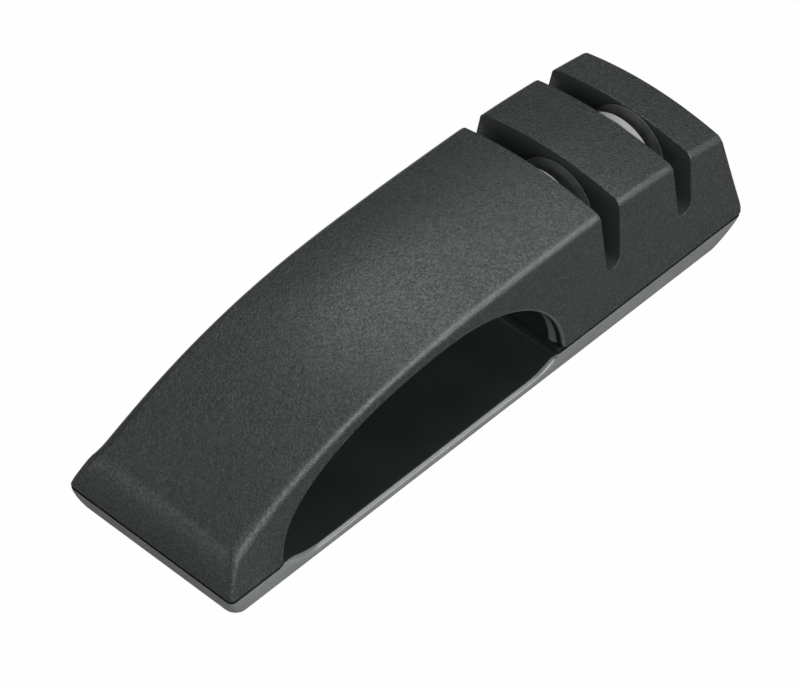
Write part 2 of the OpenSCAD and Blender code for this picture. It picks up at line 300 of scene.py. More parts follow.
def trimmed_triangles(points: np.ndarray, outline: np.ndarray, holes: Sequence[np.ndarray]) -> list[tuple]:
    """Fill an outline with triangles, leaving its holes open.

    Args:
        points: All points; the outline's come first, then each hole's, then any others.
        outline: Array of the outline's points.
        holes: Arrays of the holes' points.

    Returns:
        Triangles as numbers of the given points.
    """
    edges = []
    start = 0
    for loop in (outline, *holes):
        count = len(loop)
        edges += [(start + k, start + (k + 1) % count) for k in range(count)]
        start += count
    found = delaunay_2d_cdt([Vector(point) for point in points.tolist()], edges, [], 0, 1e-7)
    places = np.array([tuple(point) for point in found[0]])
    source = [origin[0] for origin in found[3]]
    faces = [tuple(face) for face in found[2]]
    middles = np.array([places[list(face)].mean(axis=0) for face in faces])
    kept = inside(middles, outline)
    for hole in holes:
        kept &= ~inside(middles, hole)
    return [tuple(source[k] for k in face) for face, keep in zip(faces, kept) if keep]


@dataclass
class Lattice:
    """A grid of two surface parameters that can be trimmed by outlines.

    Attributes:
        columns: Values of the first parameter, rising.
        rows: Values of the second parameter, rising.
        room: Least distance, in cells, that grid points keep from an outline.
    """

    columns: list[float]
    rows: list[float]
    room: float = 0.5

    def cells(self, pairs: Sequence[Pair]) -> np.ndarray:
        """Turn parameter pairs into places counted in cells."""
        values = np.array(pairs)
        across = np.interp(values[:, 0], self.columns, range(len(self.columns)))
        along = np.interp(values[:, 1], self.rows, range(len(self.rows)))
        return np.stack([across, along], axis=1)

    def trim(self, outline: list[Pair], holes: list[list[Pair]]) -> tuple[list[Pair], list[tuple]]:
        """Cover the inside of an outline.

        Args:
            outline: Closed outline in surface parameters.
            holes: Closed outlines that stay open.

        Returns:
            Parameter pairs of all points, with the outline's and holes' first, and the triangles.
        """
        loops = [self.cells(loop) for loop in (outline, *holes)]
        pairs = [(c, r) for c in self.columns for r in self.rows]
        grid = self.cells(pairs)
        free = inside(grid, loops[0]) & (distance(grid, loops[0]) > self.room)
        for loop in loops[1:]:
            free &= ~inside(grid, loop) & (distance(grid, loop) > self.room)
        kept = [pair for pair, use in zip(pairs, free) if use]
        every = [pair for loop in (outline, *holes) for pair in loop] + kept
        triangles = trimmed_triangles(np.concatenate(loops + [grid[free]]), loops[0], loops[1:])
        return every, triangles


@dataclass(frozen=True)
class RimPoint:
    """A point of the edge where a cut meets a skin.

    Attributes:
        edge: Surface parameters of the sharp edge.
        start: Surface parameters where the edge's rounding begins.
        out: Direction from the material into the cut.
        size: Size of the rounding.
        reach: Height and half width that the cut's wall goes in to, if it goes deeper than the skin.
    """

    edge: Pair
    start: Pair
    out: Vector
    size: float
    reach: Pair | None = None


# Shader nodes as Python expressions

class Signal:
    """A number in a node tree that takes part in arithmetic."""

    def __init__(self, graph: "Graph", socket: bpy.types.NodeSocket) -> None:
        """Wrap a socket of a graph."""
        self.graph = graph
        self.socket = socket

    def _math(self, operation: str, *values: "Signal | float") -> "Signal":
        """Add a Math node for an operation on values."""
        return self.graph.node("ShaderNodeMath", {"operation": operation}, dict(enumerate(values)))

    def __add__(self, other: "Signal | float") -> "Signal":
        """Add."""
        return self._math("ADD", self, other)

    def __sub__(self, other: "Signal | float") -> "Signal":
        """Subtract."""
        return self._math("SUBTRACT", self, other)

    def __mul__(self, other: "Signal | float") -> "Signal":
        """Multiply."""
        return self._math("MULTIPLY", self, other)

    def __pow__(self, other: "Signal | float") -> "Signal":
        """Raise to a power."""
        return self._math("POWER", self, other)

    def __rsub__(self, other: float) -> "Signal":
        """Subtract from a plain number."""
        return self._math("SUBTRACT", other, self)

    __radd__ = __add__
    __rmul__ = __mul__

    def between(self, low: float, high: float) -> "Signal":
        """Map a stretch of values smoothly to 0 to 1."""
        return self.graph.node("ShaderNodeMapRange", {"interpolation_type": "SMOOTHSTEP"},
                               {"Value": self, "From Min": low, "From Max": high})


class Graph:
    """A node tree that is built from Python."""

    def __init__(self, tree: bpy.types.NodeTree) -> None:
        """Take a node tree and empty it."""
        self.tree = tree
        tree.nodes.clear()

    def make(self, kind: str, settings: dict | None = None, inputs: dict | None = None) -> bpy.types.Node:
        """Add a node.

        Args:
            kind: The node's type.
            settings: Attributes, which are set first.
            inputs: Values or links for sockets, by name or number.

        Returns:
            The new node.
        """
        node = self.tree.nodes.new(kind)
        for name, value in (settings or {}).items():
            setattr(node, name, value)
        for key, value in (inputs or {}).items():
            socket = node.inputs[key]
            if isinstance(value, Signal):
                self.tree.links.new(value.socket, socket)
            elif isinstance(value, bpy.types.NodeSocket):
                self.tree.links.new(value, socket)
            else:
                socket.default_value = value
        return node

    def node(self, kind: str, settings: dict | None = None, inputs: dict | None = None,
             output: str | int = 0) -> Signal:
        """Add a node and wrap one of its outputs."""
        return Signal(self, self.make(kind, settings, inputs).outputs[output])

    def mix(self, factor: Signal, first: "Colour | Signal", second: "Colour | Signal") -> Signal:
        """Blend two colours.

        Args:
            factor: Share of the second colour.
            first: Colour at 0.
            second: Colour at 1.

        Returns:
            The blended colour.
        """
        inputs = {0: factor}
        for number, colour in ((6, first), (7, second)):
            inputs[number] = colour if isinstance(colour, Signal) else (*colour, 1)
        return self.node("ShaderNodeMix", {"data_type": "RGBA"}, inputs, output=2)

    def blend(self, factor: "Signal | bpy.types.NodeSocket", first: bpy.types.Node,
              second: bpy.types.Node) -> bpy.types.NodeSocket:
        """Blend two shaders; factor is the second one's share."""
        inputs = {0: factor, 1: first.outputs[0], 2: second.outputs[0]}
        return self.make("ShaderNodeMixShader", inputs=inputs).outputs[0]

    def place(self) -> Signal:
        """Give the point on the object, in its own metres."""
        return self.node("ShaderNodeTexCoord", output="Object")

    def axes(self) -> tuple[Signal, Signal, Signal]:
        """Give the point's X, Y and Z."""
        split = self.make("ShaderNodeSeparateXYZ", inputs={0: self.place()})
        return tuple(Signal(self, output) for output in split.outputs)

    def noise(self, scale: float, detail: float = 2.0, roughness: float = 0.5) -> Signal:
        """Give smooth noise; scale counts its waves in a metre."""
        return self.node("ShaderNodeTexNoise", inputs={"Vector": self.place(), "Scale": scale,
                                                       "Detail": detail, "Roughness": roughness})

    def grains(self, scale: float) -> Signal:
        """Give each grain of a close-packed texture a chance number; scale counts grains in a metre."""
        cells = self.make("ShaderNodeTexVoronoi", inputs={"Vector": self.place(), "Scale": scale})
        parts = self.make("ShaderNodeSeparateColor", inputs={0: cells.outputs["Color"]})
        return Signal(self, parts.outputs[0])

    def bump(self, height: Signal, strength: float, depth: float) -> Signal:
        """Tilt the surface by a height; depth is in metres."""
        return self.node("ShaderNodeBump", inputs={"Strength": strength, "Distance": depth, "Height": height})


# Finishes

@dataclass(frozen=True)
class Finish:
    """A surface's material.

    Attributes:
        name: The material's name.
        colour: Main colour.
        rough: Main roughness.
    """

    name: str
    colour: Colour
    rough: float

    def material(self) -> bpy.types.Material:
        """Make the material, or give the one already made."""
        made = bpy.data.materials.get(self.name)
        if made:
            return made
        made = bpy.data.materials.new(self.name)
        made.use_nodes = True
        graph = Graph(made.node_tree)
        shader = graph.make("ShaderNodeBsdfPrincipled", inputs=self.surface(graph))
        graph.make("ShaderNodeOutputMaterial", inputs={"Surface": shader.outputs[0]})
        made.diffuse_color = (*self.colour, 1)
        return made

    def surface(self, graph: Graph) -> dict:
        """Give the shader's inputs."""
        raise NotImplementedError

    def darker(self, share: float) -> Colour:
        """Give the main colour times a share."""
        return tuple(part * share for part in self.colour)


@dataclass(frozen=True)
class SparkPlastic(Finish):
    """Moulded plastic with the fine pitted texture of a spark-eroded tool.

    Attributes:
        grain: Waves of the texture in a metre.
        depth: Depth of the texture in metres.
        glint_grains: Grains in a metre, each painted a random tone and given more or less coat, as painted
            glints.
        painted_glint_tones: Shares of the main colour in the dullest and the brightest grains, painted
            glints.
        painted_highlight_tone: Share of the main colour in the band along the long edges, lighter as a
            painted highlight.
        edge: Distances in metres from the middle line between which the long edges are polished and painted
            lighter as a highlight.
        edge_soft: Distance in metres over which that starts and stops.
        edge_end: Place along the body, in metres, where it ends towards the tail.
        end_soft: Half the distance in metres over which it ends.
    """

    grain: float = 1900.0
    depth: float = 0.0004
    glint_grains: float = 2470.0
    painted_glint_tones: Pair = (0.75, 1.5)
    painted_highlight_tone: float = 3.0
    edge: Pair = (0.0216, 0.0229)
    edge_soft: float = 0.0003
    edge_end: float = -0.055
    end_soft: float = 0.025

    def edge_polish_and_highlight(self, graph: Graph) -> Signal:
        """Give how much the band along the long edges is polished and painted lighter as a highlight."""
        along, across, _ = graph.axes()
        inner, outer = self.edge
        off = (across ** 2) ** 0.5
        started = off.between(inner - self.edge_soft, inner + self.edge_soft)
        stopped = off.between(outer, outer + self.edge_soft)
        lengthwise = along.between(self.edge_end - self.end_soft, self.edge_end + self.end_soft)
        return started * (1 - stopped) * lengthwise

    def surface(self, graph: Graph) -> dict:
        """Give the shader's inputs."""
        pits = graph.noise(self.grain, 2.0, 0.6)
        rubbed = self.edge_polish_and_highlight(graph)
        glint_grains = graph.grains(self.glint_grains) ** 1.6
        handling = graph.noise(22.0, 3.0).between(0.38, 0.66)
        # Random grains are painted lighter and darker, painted glints on the texture.
        tone = graph.mix(glint_grains, *(self.darker(share) for share in self.painted_glint_tones))
        return {
            # The band along the long edges is painted lighter, a painted highlight; it also has less
            # roughness and more coat.
            "Base Color": graph.mix(handling * 0.1 + rubbed * 0.4, tone, self.darker(self.painted_highlight_tone)),
            "Roughness": self.rough + 0.12 * pits - 0.06 * handling - 0.06 * rubbed,
            "Specular IOR Level": 0.42,
            "Specular Tint": (0.9, 1.0, 0.96, 1.0),
            "Coat Weight": 0.2 + glint_grains * 0.5 + rubbed * 0.4,
            "Coat Roughness": 0.3,
            "Normal": graph.bump(pits, 1.0, self.depth),
        }


@dataclass(frozen=True)
class SmoothPlastic(Finish):
    """Plastic from a polished tool, with faint flow and fine rubbing marks.

    Attributes:
        ripple: Depth of the faint waviness in metres.
        gloss: Strength of its reflections; 0.5 is plain plastic.
    """

    ripple: float = 0.00002
    gloss: float = 0.5

    def surface(self, graph: Graph) -> dict:
        """Give the shader's inputs."""
        flow = graph.noise(60.0, 2.0)
        fine = graph.noise(4200.0, 2.0)
        rubbed = graph.noise(320.0, 4.0, 0.7).between(0.5, 0.75)
        return {
            "Base Color": graph.mix(flow.between(0.35, 0.7), self.darker(0.9), self.darker(1.12)),
            "Roughness": self.rough + 0.08 * rubbed + 0.05 * fine,
            "Specular IOR Level": self.gloss,
            "Normal": graph.bump(fine, 0.35, self.ripple),
        }


@dataclass(frozen=True)
class Rubber(Finish):
    """Matt rubber with a dusty bloom."""

    def surface(self, graph: Graph) -> dict:
        """Give the shader's inputs."""
        dust = graph.noise(900.0, 4.0, 0.65)
        return {
            "Base Color": graph.mix(dust.between(0.45, 0.8), self.colour, self.darker(2.2)),
            "Roughness": self.rough + 0.1 * dust,
            "Normal": graph.bump(dust, 0.4, 0.00005),
        }


@dataclass(frozen=True)
class Steel(Finish):
    """Turned steel with fine tool marks.

    Attributes:
        marks: Tool marks in a metre.
    """

    marks: float = 6000.0

    def surface(self, graph: Graph) -> dict:
        """Give the shader's inputs."""
        lines = graph.noise(self.marks, 1.0)
        stain = graph.noise(260.0, 3.0)
        return {
            "Base Color": graph.mix(stain.between(0.4, 0.75), self.colour, self.darker(0.82)),
            "Metallic": 1.0,
            "Roughness": self.rough + 0.14 * lines + 0.08 * stain,
            "Normal": graph.bump(lines, 0.3, 0.00001),
        }


@dataclass(frozen=True)
class Ceramic(Finish):
    """Bonded abrasive with grains of two tones.

    Attributes:
        grit: Grains in a metre.
        dark: Colour of the darker grains.
        worn: Colour of the steel dust that collects on the grinding face.
        inner: Radius in metres where the grinding face begins.
        centre: Middle of the pair of wheels, on the axle, in metres.
        half: Distance of the grinding face's outer edge from the middle, in metres.
        soft: Half the distance in metres over which the dust stops at that edge.
        dusty: Distances in metres from inner over which the dust starts.
        shade_fade: Distances in metres from inner over which the painted shade deep in the V fades, so the
            dust grows lighter outward.
        deep_shade_share: Share of the dust's colour deep in the V between the wheels, a painted shade.
    """

    grit: float
    dark: Colour
    worn: Colour
    inner: float
    centre: Triple
    half: float
    soft: float = 0.0001
    dusty: Pair = (-0.0004, 0.0006)
    shade_fade: Pair = (0.0024, 0.0037)
    deep_shade_share: float = 0.3

    def surface(self, graph: Graph) -> dict:
        """Give the shader's inputs."""
        grains = graph.noise(self.grit, 2.0, 0.6)
        along, across, above = (axis - middle for axis, middle in zip(graph.axes(), self.centre))
        radius = (across * across + above * above) ** 0.5
        outward = (along * along) ** 0.5
        patches = graph.noise(420.0, 3.0).between(0.3, 0.7)
        facing = 1 - outward.between(self.half - self.soft, self.half + self.soft)
        started, shade_fade = (radius.between(self.inner + low, self.inner + high)
                          for low, high in (self.dusty, self.shade_fade))
        dust = facing * started * (0.9 + 0.1 * patches)
        clean = graph.mix(grains.between(0.5, 0.7), self.colour, self.dark)
        # Darker towards the wheel's middle: painted shade deep in the V between the wheels.
        dust_with_painted_shade = graph.mix(shade_fade, tuple(self.deep_shade_share * part for part in self.worn), self.worn)
        return {
            "Base Color": graph.mix(dust, clean, dust_with_painted_shade),
            "Roughness": self.rough + 0.15 * grains,
            "Normal": graph.bump(grains, 0.6, 0.00006),
        }


@dataclass(frozen=True)
class Nylon(Finish):
    """Natural nylon, a little waxy."""

    def surface(self, graph: Graph) -> dict:
        """Give the shader's inputs."""
        cloud = graph.noise(700.0, 3.0)
        return {
            "Base Color": graph.mix(cloud.between(0.35, 0.7), self.colour, self.darker(0.85)),
            "Roughness": self.rough + 0.1 * cloud,
            "Normal": graph.bump(cloud, 0.3, 0.00003),
        }


class Finishes(Enum):
    """The finishes of this object's pieces."""

    SHELL = SparkPlastic("shell_textured_plastic", (0.018, 0.0222, 0.0203), 0.22)
    LINER = SmoothPlastic("liner_satin_plastic", (0.155, 0.17, 0.164), 0.3, gloss=0.8)
    BASE = SmoothPlastic("base_gloss_plastic", (0.19, 0.205, 0.198), 0.22, gloss=0.9)
    CARRIER = SmoothPlastic("carrier_satin_plastic", (0.042, 0.05, 0.047), 0.42, gloss=0.3)
    # Painted shade: the plastic made dark where it lies in shade inside the body and in the seam's groove.
    INSIDE = SmoothPlastic("painted_shade_plastic", (0.0175, 0.0212, 0.02), 0.4, gloss=0.22)
    # Painted highlight: a lighter, glossier plastic on the opening's rounded edge that paints a thin light
    # line.
    RIM = SmoothPlastic("rim_painted_highlight_plastic", (0.07, 0.079, 0.075), 0.26, gloss=1.0)
    FOOT = Rubber("foot_rubber", (0.018, 0.018, 0.018), 0.78)
    SCREW = Steel("screw_zinc_steel", (0.42, 0.42, 0.43), 0.34)
    AXLE = Steel("axle_ground_steel", (0.52, 0.52, 0.53), 0.22)
    BUSH = Nylon("bush_nylon", (0.55, 0.55, 0.52), 0.5)

    def dress(self, piece: bpy.types.Object, *others: "Finishes") -> None:
        """Give a piece this finish in place of any that it has.

        Args:
            piece: The piece.
            others: Finishes of its marked faces, in the order of Faces.
        """
        slots = piece.data.materials
        if slots:
            # Clearing would also take the marks off a draft's faces, which have no slots yet.
            slots.clear()
        for finish in (self, *others):
            slots.append(finish.value.material())


def settle(piece: bpy.types.Object, node: str, body: str = HOUSING) -> None:
    """Put a finished piece in the place of its CAD node.

    Args:
        piece: The piece.
        node: The node that it stands for.
        body: The body that it moves with.
    """
    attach(piece, body)
    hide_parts(node)
    LOG.info("%s: %d points, %d faces", piece.name, len(piece.data.vertices), len(piece.data.polygons))


# The body's form

class Section(NamedTuple):
    """A half section of the body, as widths from the middle and heights.

    Attributes:
        seam_half: Width at the seam.
        low_y: Width where the long edge's rounding leaves the flat side.
        low_z: Its height.
        edge_y: Width of the sharp edge that the rounding replaces.
        edge_z: Its height.
        up_y: Width where the rounding meets the crown.
        up_z: Its height.
        top: Height of the middle line.
        rate: How fast the crown falls.
    """

    seam_half: float
    low_y: float
    low_z: float
    edge_y: float
    edge_z: float
    up_y: float
    up_z: float
    top: float
    rate: float


@dataclass(frozen=True)
class BodyForm:
    """Outer form of the body, from the seam up.

    Along X the back is a long arch that falls to the tail and, past the head, a steep end face.
    Across Y a section has a flat side, a rounded long edge and a shallow crown. A place across is
    counted from the middle line, 0, over the crown, 1, and the rounding, 2, to the seam, 3.
    """

    half_length: float
    side_half: float
    seam: float
    crest_height: float
    crest_x: float = 31.5
    head_bend: float = 334.0
    tail_drop: float = 27.7
    tail_power: float = 3.1
    crown: float = 2.35
    crown_half: float = 21.5
    edge_half: float = 22.9
    head_slope: float = 8.3
    head_round: float = 1.3
    edge_round: float = 1.3
    edge_bend: Pair = (0.45, 1.4)
    end_lip: float = 0.5
    tail_nose: float = 5.0
    nose_power: float = 1.5
    tail_lip: float = 2.4
    flare: float = 9.5
    flare_lean: float = 0.6
    least_lean: float = 0.05
    plan_round: float = 1.5
    grip_start: float = -20.0
    grip_round: float = 2.0
    tail_crisp: float = 1.5
    crown_fade: float = 150.0
    least_crown: float = 0.25

    def arch(self, x: float) -> float:
        """Give the height of the back's middle line, without the ends."""
        if x >= self.crest_x:
            return self.crest_height - (x - self.crest_x) ** 2 / (2 * self.head_bend)
        fall = (self.crest_x - x) / (self.crest_x + self.half_length)
        return self.crest_height - self.tail_drop * fall ** self.tail_power

    @property
    def head_top(self) -> float:
        """Where the back turns down into the head's end face."""
        return self.half_length - self.head_slope

    def share(self, x: float) -> float:
        """Give the share of the full height that is left at a place on the head's end face."""
        drop = self.arch(self.head_top) - self.seam
        past = self.head_round * self.head_slope / math.hypot(self.head_slope, drop)
        first = self.head_top - self.head_round
        if x <= first:
            return 1.0
        if x >= self.head_top + past:
            return (self.half_length - x) / self.head_slope
        bend = past - self.head_round
        rate = 2 * self.head_round
        t = (-rate + math.sqrt(max(0.0, rate ** 2 - 4 * bend * (first - x)))) / (2 * bend)
        return 1 - t * t * past / self.head_slope

    def nose(self, x: float) -> float:
        """Give how far the sloped tail end drops."""
        t = min(1.0, (x + self.half_length) / self.tail_nose)
        drop = self.arch(-self.half_length) - self.seam - self.tail_lip
        return drop * max(0.0, 1 - t) ** self.nose_power

    def crest(self, x: float) -> float:
        """Give the height of the back's middle line."""
        share = self.share(x)
        full = self.arch(min(x, self.head_top)) - self.seam
        return self.seam + self.end_lip * (1 - share) + full * share - self.nose(x)

    def seam_half(self, x: float) -> float:
        """Give half the width at the seam."""
        past = max(0.0, abs(x) - self.half_length + self.plan_round)
        return self.side_half - self.plan_round + math.sqrt(max(0.0, self.plan_round ** 2 - past ** 2))

    def grip_share(self, x: float) -> float:
        """Give how far down the grip a place is, 1 at the tail."""
        return max(0.0, self.grip_start - x) / (self.half_length + self.grip_start)

    def flare_share(self, x: float) -> float:
        """Give how far into the flared tail end a place is, 1 at the tail."""
        return max(0.0, -x - self.half_length + self.flare) / self.flare

    def top_half(self, x: float) -> float:
        """Give half the width between the long edges."""
        lean = self.side_half - self.edge_half
        seam_half = self.seam_half(x)
        flared = (lean - self.flare_lean) * self.flare_share(x) ** 2
        wide = self.edge_half + flared + lean * (1 - self.share(x))
        return min(seam_half - self.least_lean, wide - self.side_half + seam_half)

    def rounding(self, x: float) -> float:
        """Give the size of the long edges' rounding, which grows along the grip and is crisper at its end."""
        return (self.edge_round + self.grip_round * self.grip_share(x) ** 2
                - self.tail_crisp * self.flare_share(x) ** 2)

    def bend(self, x: float) -> float:
        """Give how round the long edges are: nearly a flat bevel at the head, an arc at the tail."""
        first, last = self.edge_bend
        return first + (last - first) * math.sqrt(self.grip_share(x))

    def section(self, x: float) -> Section:
        """Give the half section at a place along the body."""
        top = self.crest(x)
        rate = self.crown / self.crown_half ** 2 * self.share(x)
        if x < 0:
            rate *= max(self.least_crown, 1 + x / self.crown_fade)
        corner = self.top_half(x)
        height = top - rate * corner ** 2
        seam_half = self.seam_half(x)
        size = min(self.rounding(x), 0.8 * (height - self.seam), 0.5 * corner)
        slope = (seam_half - corner) / max(0.2, height - self.seam)
        upper = corner - size
        return Section(seam_half, corner + slope * size, height - size, corner, height,
                       upper, top - rate * upper ** 2, top, rate)

    def point(self, x: float, v: float) -> Vector:
        """Give a point of the surface.

        Args:
            x: Place along the body.
            v: Place across it, negative on the near side.

        Returns:
            The point.
        """
        cut = self.section(x)
        side = math.copysign(1, v)
        q = abs(v)
        if q <= 1:
            y = cut.up_y * q
            return Vector((x, side * y, cut.top - cut.rate * y * y))
        if q >= 2:
            t = q - 2
            y = cut.low_y + (cut.seam_half - cut.low_y) * t
            return Vector((x, side * y, cut.low_z + (self.seam - cut.low_z) * t))
        t = 2 - q
        weights = ((1 - t) ** 2, self.bend(x) * t * (1 - t), t * t)
        total = sum(weights)
        y = (cut.low_y * weights[0] + cut.edge_y * weights[1] + cut.up_y * weights[2]) / total
        z = (cut.low_z * weights[0] + cut.edge_z * weights[1] + cut.up_z * weights[2]) / total
        return Vector((x, side * y, z))

    def side_half_at(self, x: float, z: float) -> float:
        """Give half the width between the flat sides at a height."""
        cut = self.section(x)
        return cut.seam_half + (cut.low_y - cut.seam_half) * (z - self.seam) / (cut.low_z - self.seam)

    def side_v(self, x: float, z: float) -> float:
        """Give how far across a height on the flat side is."""
        return 3 - (z - self.seam) / (self.section(x).low_z - self.seam)

    def normal(self, x: float, v: float) -> Vector:
        """Give the outward direction at a point of the surface."""
        step = 0.01
        x0, x1 = max(-self.half_length, x - step), min(self.half_length, x + step)
        v0, v1 = max(-3.0, v - step), min(3.0, v + step)
        along = self.point(x1, v) - self.point(x0, v)
        across = self.point(x, v1) - self.point(x, v0)
        return along.cross(across).normalized()


@dataclass(frozen=True)
class GripOpening:
    """Arched opening for the hand, made of two quarter ellipses on the seam."""

    seam: float
    middle: float = -15.6
    reach_tail: float = 61.5
    reach_head: float = 39.6
    rise: float = 27.75

    def point(self, t: float, out: float = 0.0) -> tuple[float, float, float, float]:
        """Give a point of the arch.

        Args:
            t: Angle from the tail foot, 0, to the head foot, pi.
            out: How far outside the opening's edge.

        Returns:
            X and Z of the point, and the X and Z of the direction into the opening.
        """
        c, s = math.cos(t), math.sin(t)
        reach = (self.reach_tail if c > 0 else self.reach_head) + out
        rise = self.rise + out
        inward = Vector((c / reach, -s / rise)).normalized()
        return self.middle - reach * c, self.seam + rise * s, inward.x, inward.y

    @property
    def tail_foot(self) -> float:
        """X of the arch's foot towards the tail."""
        return self.middle - self.reach_tail

    @property
    def head_foot(self) -> float:
        """X of the arch's foot towards the head."""
        return self.middle + self.reach_head


# Sub-assemblies

@dataclass
class TopShell:
    """Textured cover with the grip opening and two blade slots."""

    form: BodyForm
    opening: GripOpening
    stages: tuple["SharpeningStage", ...]
    screw_places: tuple[Pair, ...]
    wall: float = 2.2
    seam_round: float = 0.15
    lip_round: Pair = (0.12, 0.7)
    rim_highlight_from: float = -12.0
    rim_highlight_foot: float = 2.6
    slot_round: float = 0.35
    foot_round: float = 1.5
    slot_head_half: float = 2.4
    slot_grip_low: float = 2.6
    slot_grip_top: float = 4.8
    slot_depth: float = 22.2
    slot_bevel: float = 2.0
    boss_radius: float = 3.8
    boss_bore: float = 1.55
    boss_depth: float = 9.0
    end_ramp: float = 15.0
    least_step: float = 0.12
    bend_gap: float = 0.4

    def columns(self) -> list[float]:
        """Give places along the body, close together where it bends."""
        form = self.form
        end = form.half_length
        turns = spread(0, math.pi / 2, 10)
        places = [-end + form.tail_nose * (1 - math.cos(a)) for a in turns]
        places += [side * (end - form.plan_round * (1 - math.sin(a))) for a in turns for side in (-1, 1)]
        places += spread(-end + form.tail_nose, form.head_top - 2 * form.head_round, 112)
        places += spread(form.head_top - 2 * form.head_round, form.head_top + form.head_round, 12)
        places += spread(form.head_top + form.head_round, end - form.plan_round, 9)
        chosen: list[float] = []
        for place in sorted(places):
            if not chosen or place - chosen[-1] > self.least_step:
                chosen.append(place)
        chosen[-1] = end
        return chosen

    def rows(self) -> list[float]:
        """Give places across the body, close together on the roundings."""
        half = spread(0, 1, 14) + spread(1, 2, 9)[1:] + spread(2, 3, 13)[1:]
        return [-v for v in reversed(half[1:])] + half

    def on_side(self, side: int, x: float, z: float, out: Pair, size: float) -> RimPoint:
        """Make a rim point on a flat side.

        Args:
            side: -1 for the near side, 1 for the far side.
            x: Place along the body.
            z: Height.
            out: X and Z of the direction into the cut.
            size: Size of the edge's rounding.

        Returns:
            The rim point.
        """
        start_x = x - size * out[0]
        start = (start_x, side * self.form.side_v(start_x, z - size * out[1]))
        return RimPoint((x, side * self.form.side_v(x, z)), start, Vector((out[0], 0, out[1])), size)

    def foot_rim(self, side: int, columns: Sequence[float]) -> list[RimPoint]:
        """Follow the seam and the grip opening from tail to head.

        Args:
            side: -1 for the near side, 1 for the far side.
            columns: Places along the body for the straight stretches.

        Returns:
            The rim's points.
        """
        seam, bend, arch = self.form.seam, self.foot_round, self.opening
        tail, head = arch.tail_foot - bend, arch.head_foot + bend
        tail_round, head_round = self.lip_round
        tail_sizes, head_sizes = (spread(self.seam_round, size, 5) for size in self.lip_round)

        def level(places: Iterable[float]) -> list[RimPoint]:
            """Go along the straight seam."""
            return [self.on_side(side, x, seam, (0, -1), self.seam_round) for x in places]

        def corner(middle: float, first: float, sizes: Iterable[float]) -> list[RimPoint]:
            """Go a quarter turn round the cover's corner at a foot of the opening."""
            points = []
            for angle, size in zip(spread(first, first + 90, 5), sizes):
                out = (math.cos(math.radians(angle)), math.sin(math.radians(angle)))
                x, z = middle + bend * out[0], seam + bend * (1 + out[1])
                points.append(self.on_side(side, x, z, out, size))
            return points

        rim = level(x for x in columns if x < tail - self.bend_gap) + corner(tail, -90, tail_sizes)
        low = math.asin(bend / arch.rise)
        for t in spread(low, math.pi - low, 96)[1:-1]:
            x, z, out_x, out_z = arch.point(t)
            share = min(1.0, max(0.0, x - arch.middle) / arch.reach_head)
            size = tail_round + (head_round - tail_round) * share
            rim.append(self.on_side(side, x, z, (out_x, out_z), size))
        rim += corner(head, 180, reversed(head_sizes))
        return rim + level(x for x in columns if x > head + self.bend_gap)

    def slot_rim(self, stage: "SharpeningStage", rows: Sequence[float]) -> list[RimPoint]:
        """Follow a blade slot's edge over the top and round both its ends.

        Args:
            stage: The wheels in the slot and their carrier, which the slot's walls go down to.
            rows: Places across the body for the stretches over the top.

        Returns:
            The closed rim's points.
        """
        form, size, place = self.form, self.slot_round, stage.middle
        radius = (self.slot_head_half + self.slot_grip_low) / 2
        middle = place + (self.slot_head_half - self.slot_grip_low) / 2
        low = form.crest_height - self.slot_depth + radius
        lean = (self.slot_grip_top - self.slot_grip_low) / (form.crest_height - self.slot_bevel - low)
        head_x = place + self.slot_head_half
        head_out = (-1.0, 0.0)
        grip_out = tuple(Vector((1, lean)).normalized())
        over = [v for v in rows if abs(v) <= 2]

        def grip_x(z: float) -> float:
            """Give the leaning wall's place at a height."""
            return place - self.slot_grip_low - lean * (z - low)

        def wall(side: int, head: bool) -> list[RimPoint]:
            """Go up one wall on one side."""
            top = form.section(place).low_z
            points = []
            for z in spread(low, top, 9)[1:-1]:
                x = head_x if head else grip_x(z)
                points.append(self.on_side(side, x, z, head_out if head else grip_out, size))
            return points

        def across(head: bool) -> list[RimPoint]:
            """Go over the top along one wall, from near to far."""
            points = []
            out, shift, tries = (head_out, size, 0) if head else (grip_out, -size, 6)
            for v in over:
                x = head_x
                for _ in range(tries):
                    x = grip_x(form.point(x, v).z)
                points.append(RimPoint((x, v), (x + shift, v), Vector((out[0], 0, out[1])), size))
            return points

        def bottom(side: int) -> list[RimPoint]:
            """Go round a slot's end from the grip wall to the head wall."""
            points = []
            for angle in spread(math.pi, 2 * math.pi, 12):
                c, s = math.cos(angle), math.sin(angle)
                points.append(self.on_side(side, middle + radius * c, low + radius * s, (-c, -s), size))
            return points

        near = bottom(-1) + wall(-1, True) + across(True)
        far = wall(1, True)[::-1] + bottom(1)[::-1] + wall(1, False)
        whole = near + far + across(False)[::-1] + wall(-1, False)[::-1]
        return [replace(point, reach=stage.carrier_reach) for point in whole]

    def rim_rows(self, rim: Sequence[RimPoint]) -> list[list[Vector]]:
        """Round an edge and give it a wall.

        Args:
            rim: The edge's points.

        Returns:
            Rows of points from the skin to the wall's inner end.
        """
        lines = []
        for point in rim:
            edge, start = self.form.point(*point.edge), self.form.point(*point.start)
            line, inward = rounded_edge(point, start, edge, self.form.normal(*point.edge), 4)
            lines.append(line + [self.wall_end(point, edge, inward)])
        return [list(row) for row in zip(*lines)]

    def wall_end(self, point: RimPoint, edge: Vector, inward: Vector) -> Vector:
        """Give the inner end of a cut's wall.

        Args:
            point: The rim point.
            edge: Its sharp edge.
            inward: Direction into the material along the wall.

        Returns:
            The end, one wall thickness in or as far as the rim point says.
        """
        if not point.reach:
            return edge + inward * self.wall
        top, half = point.reach
        drop = max(0.0, edge.z - top)
        lean = point.out.z / point.out.x if drop else 0.0
        return Vector((edge.x + lean * drop, math.copysign(min(abs(edge.y), half), edge.y), edge.z - drop))

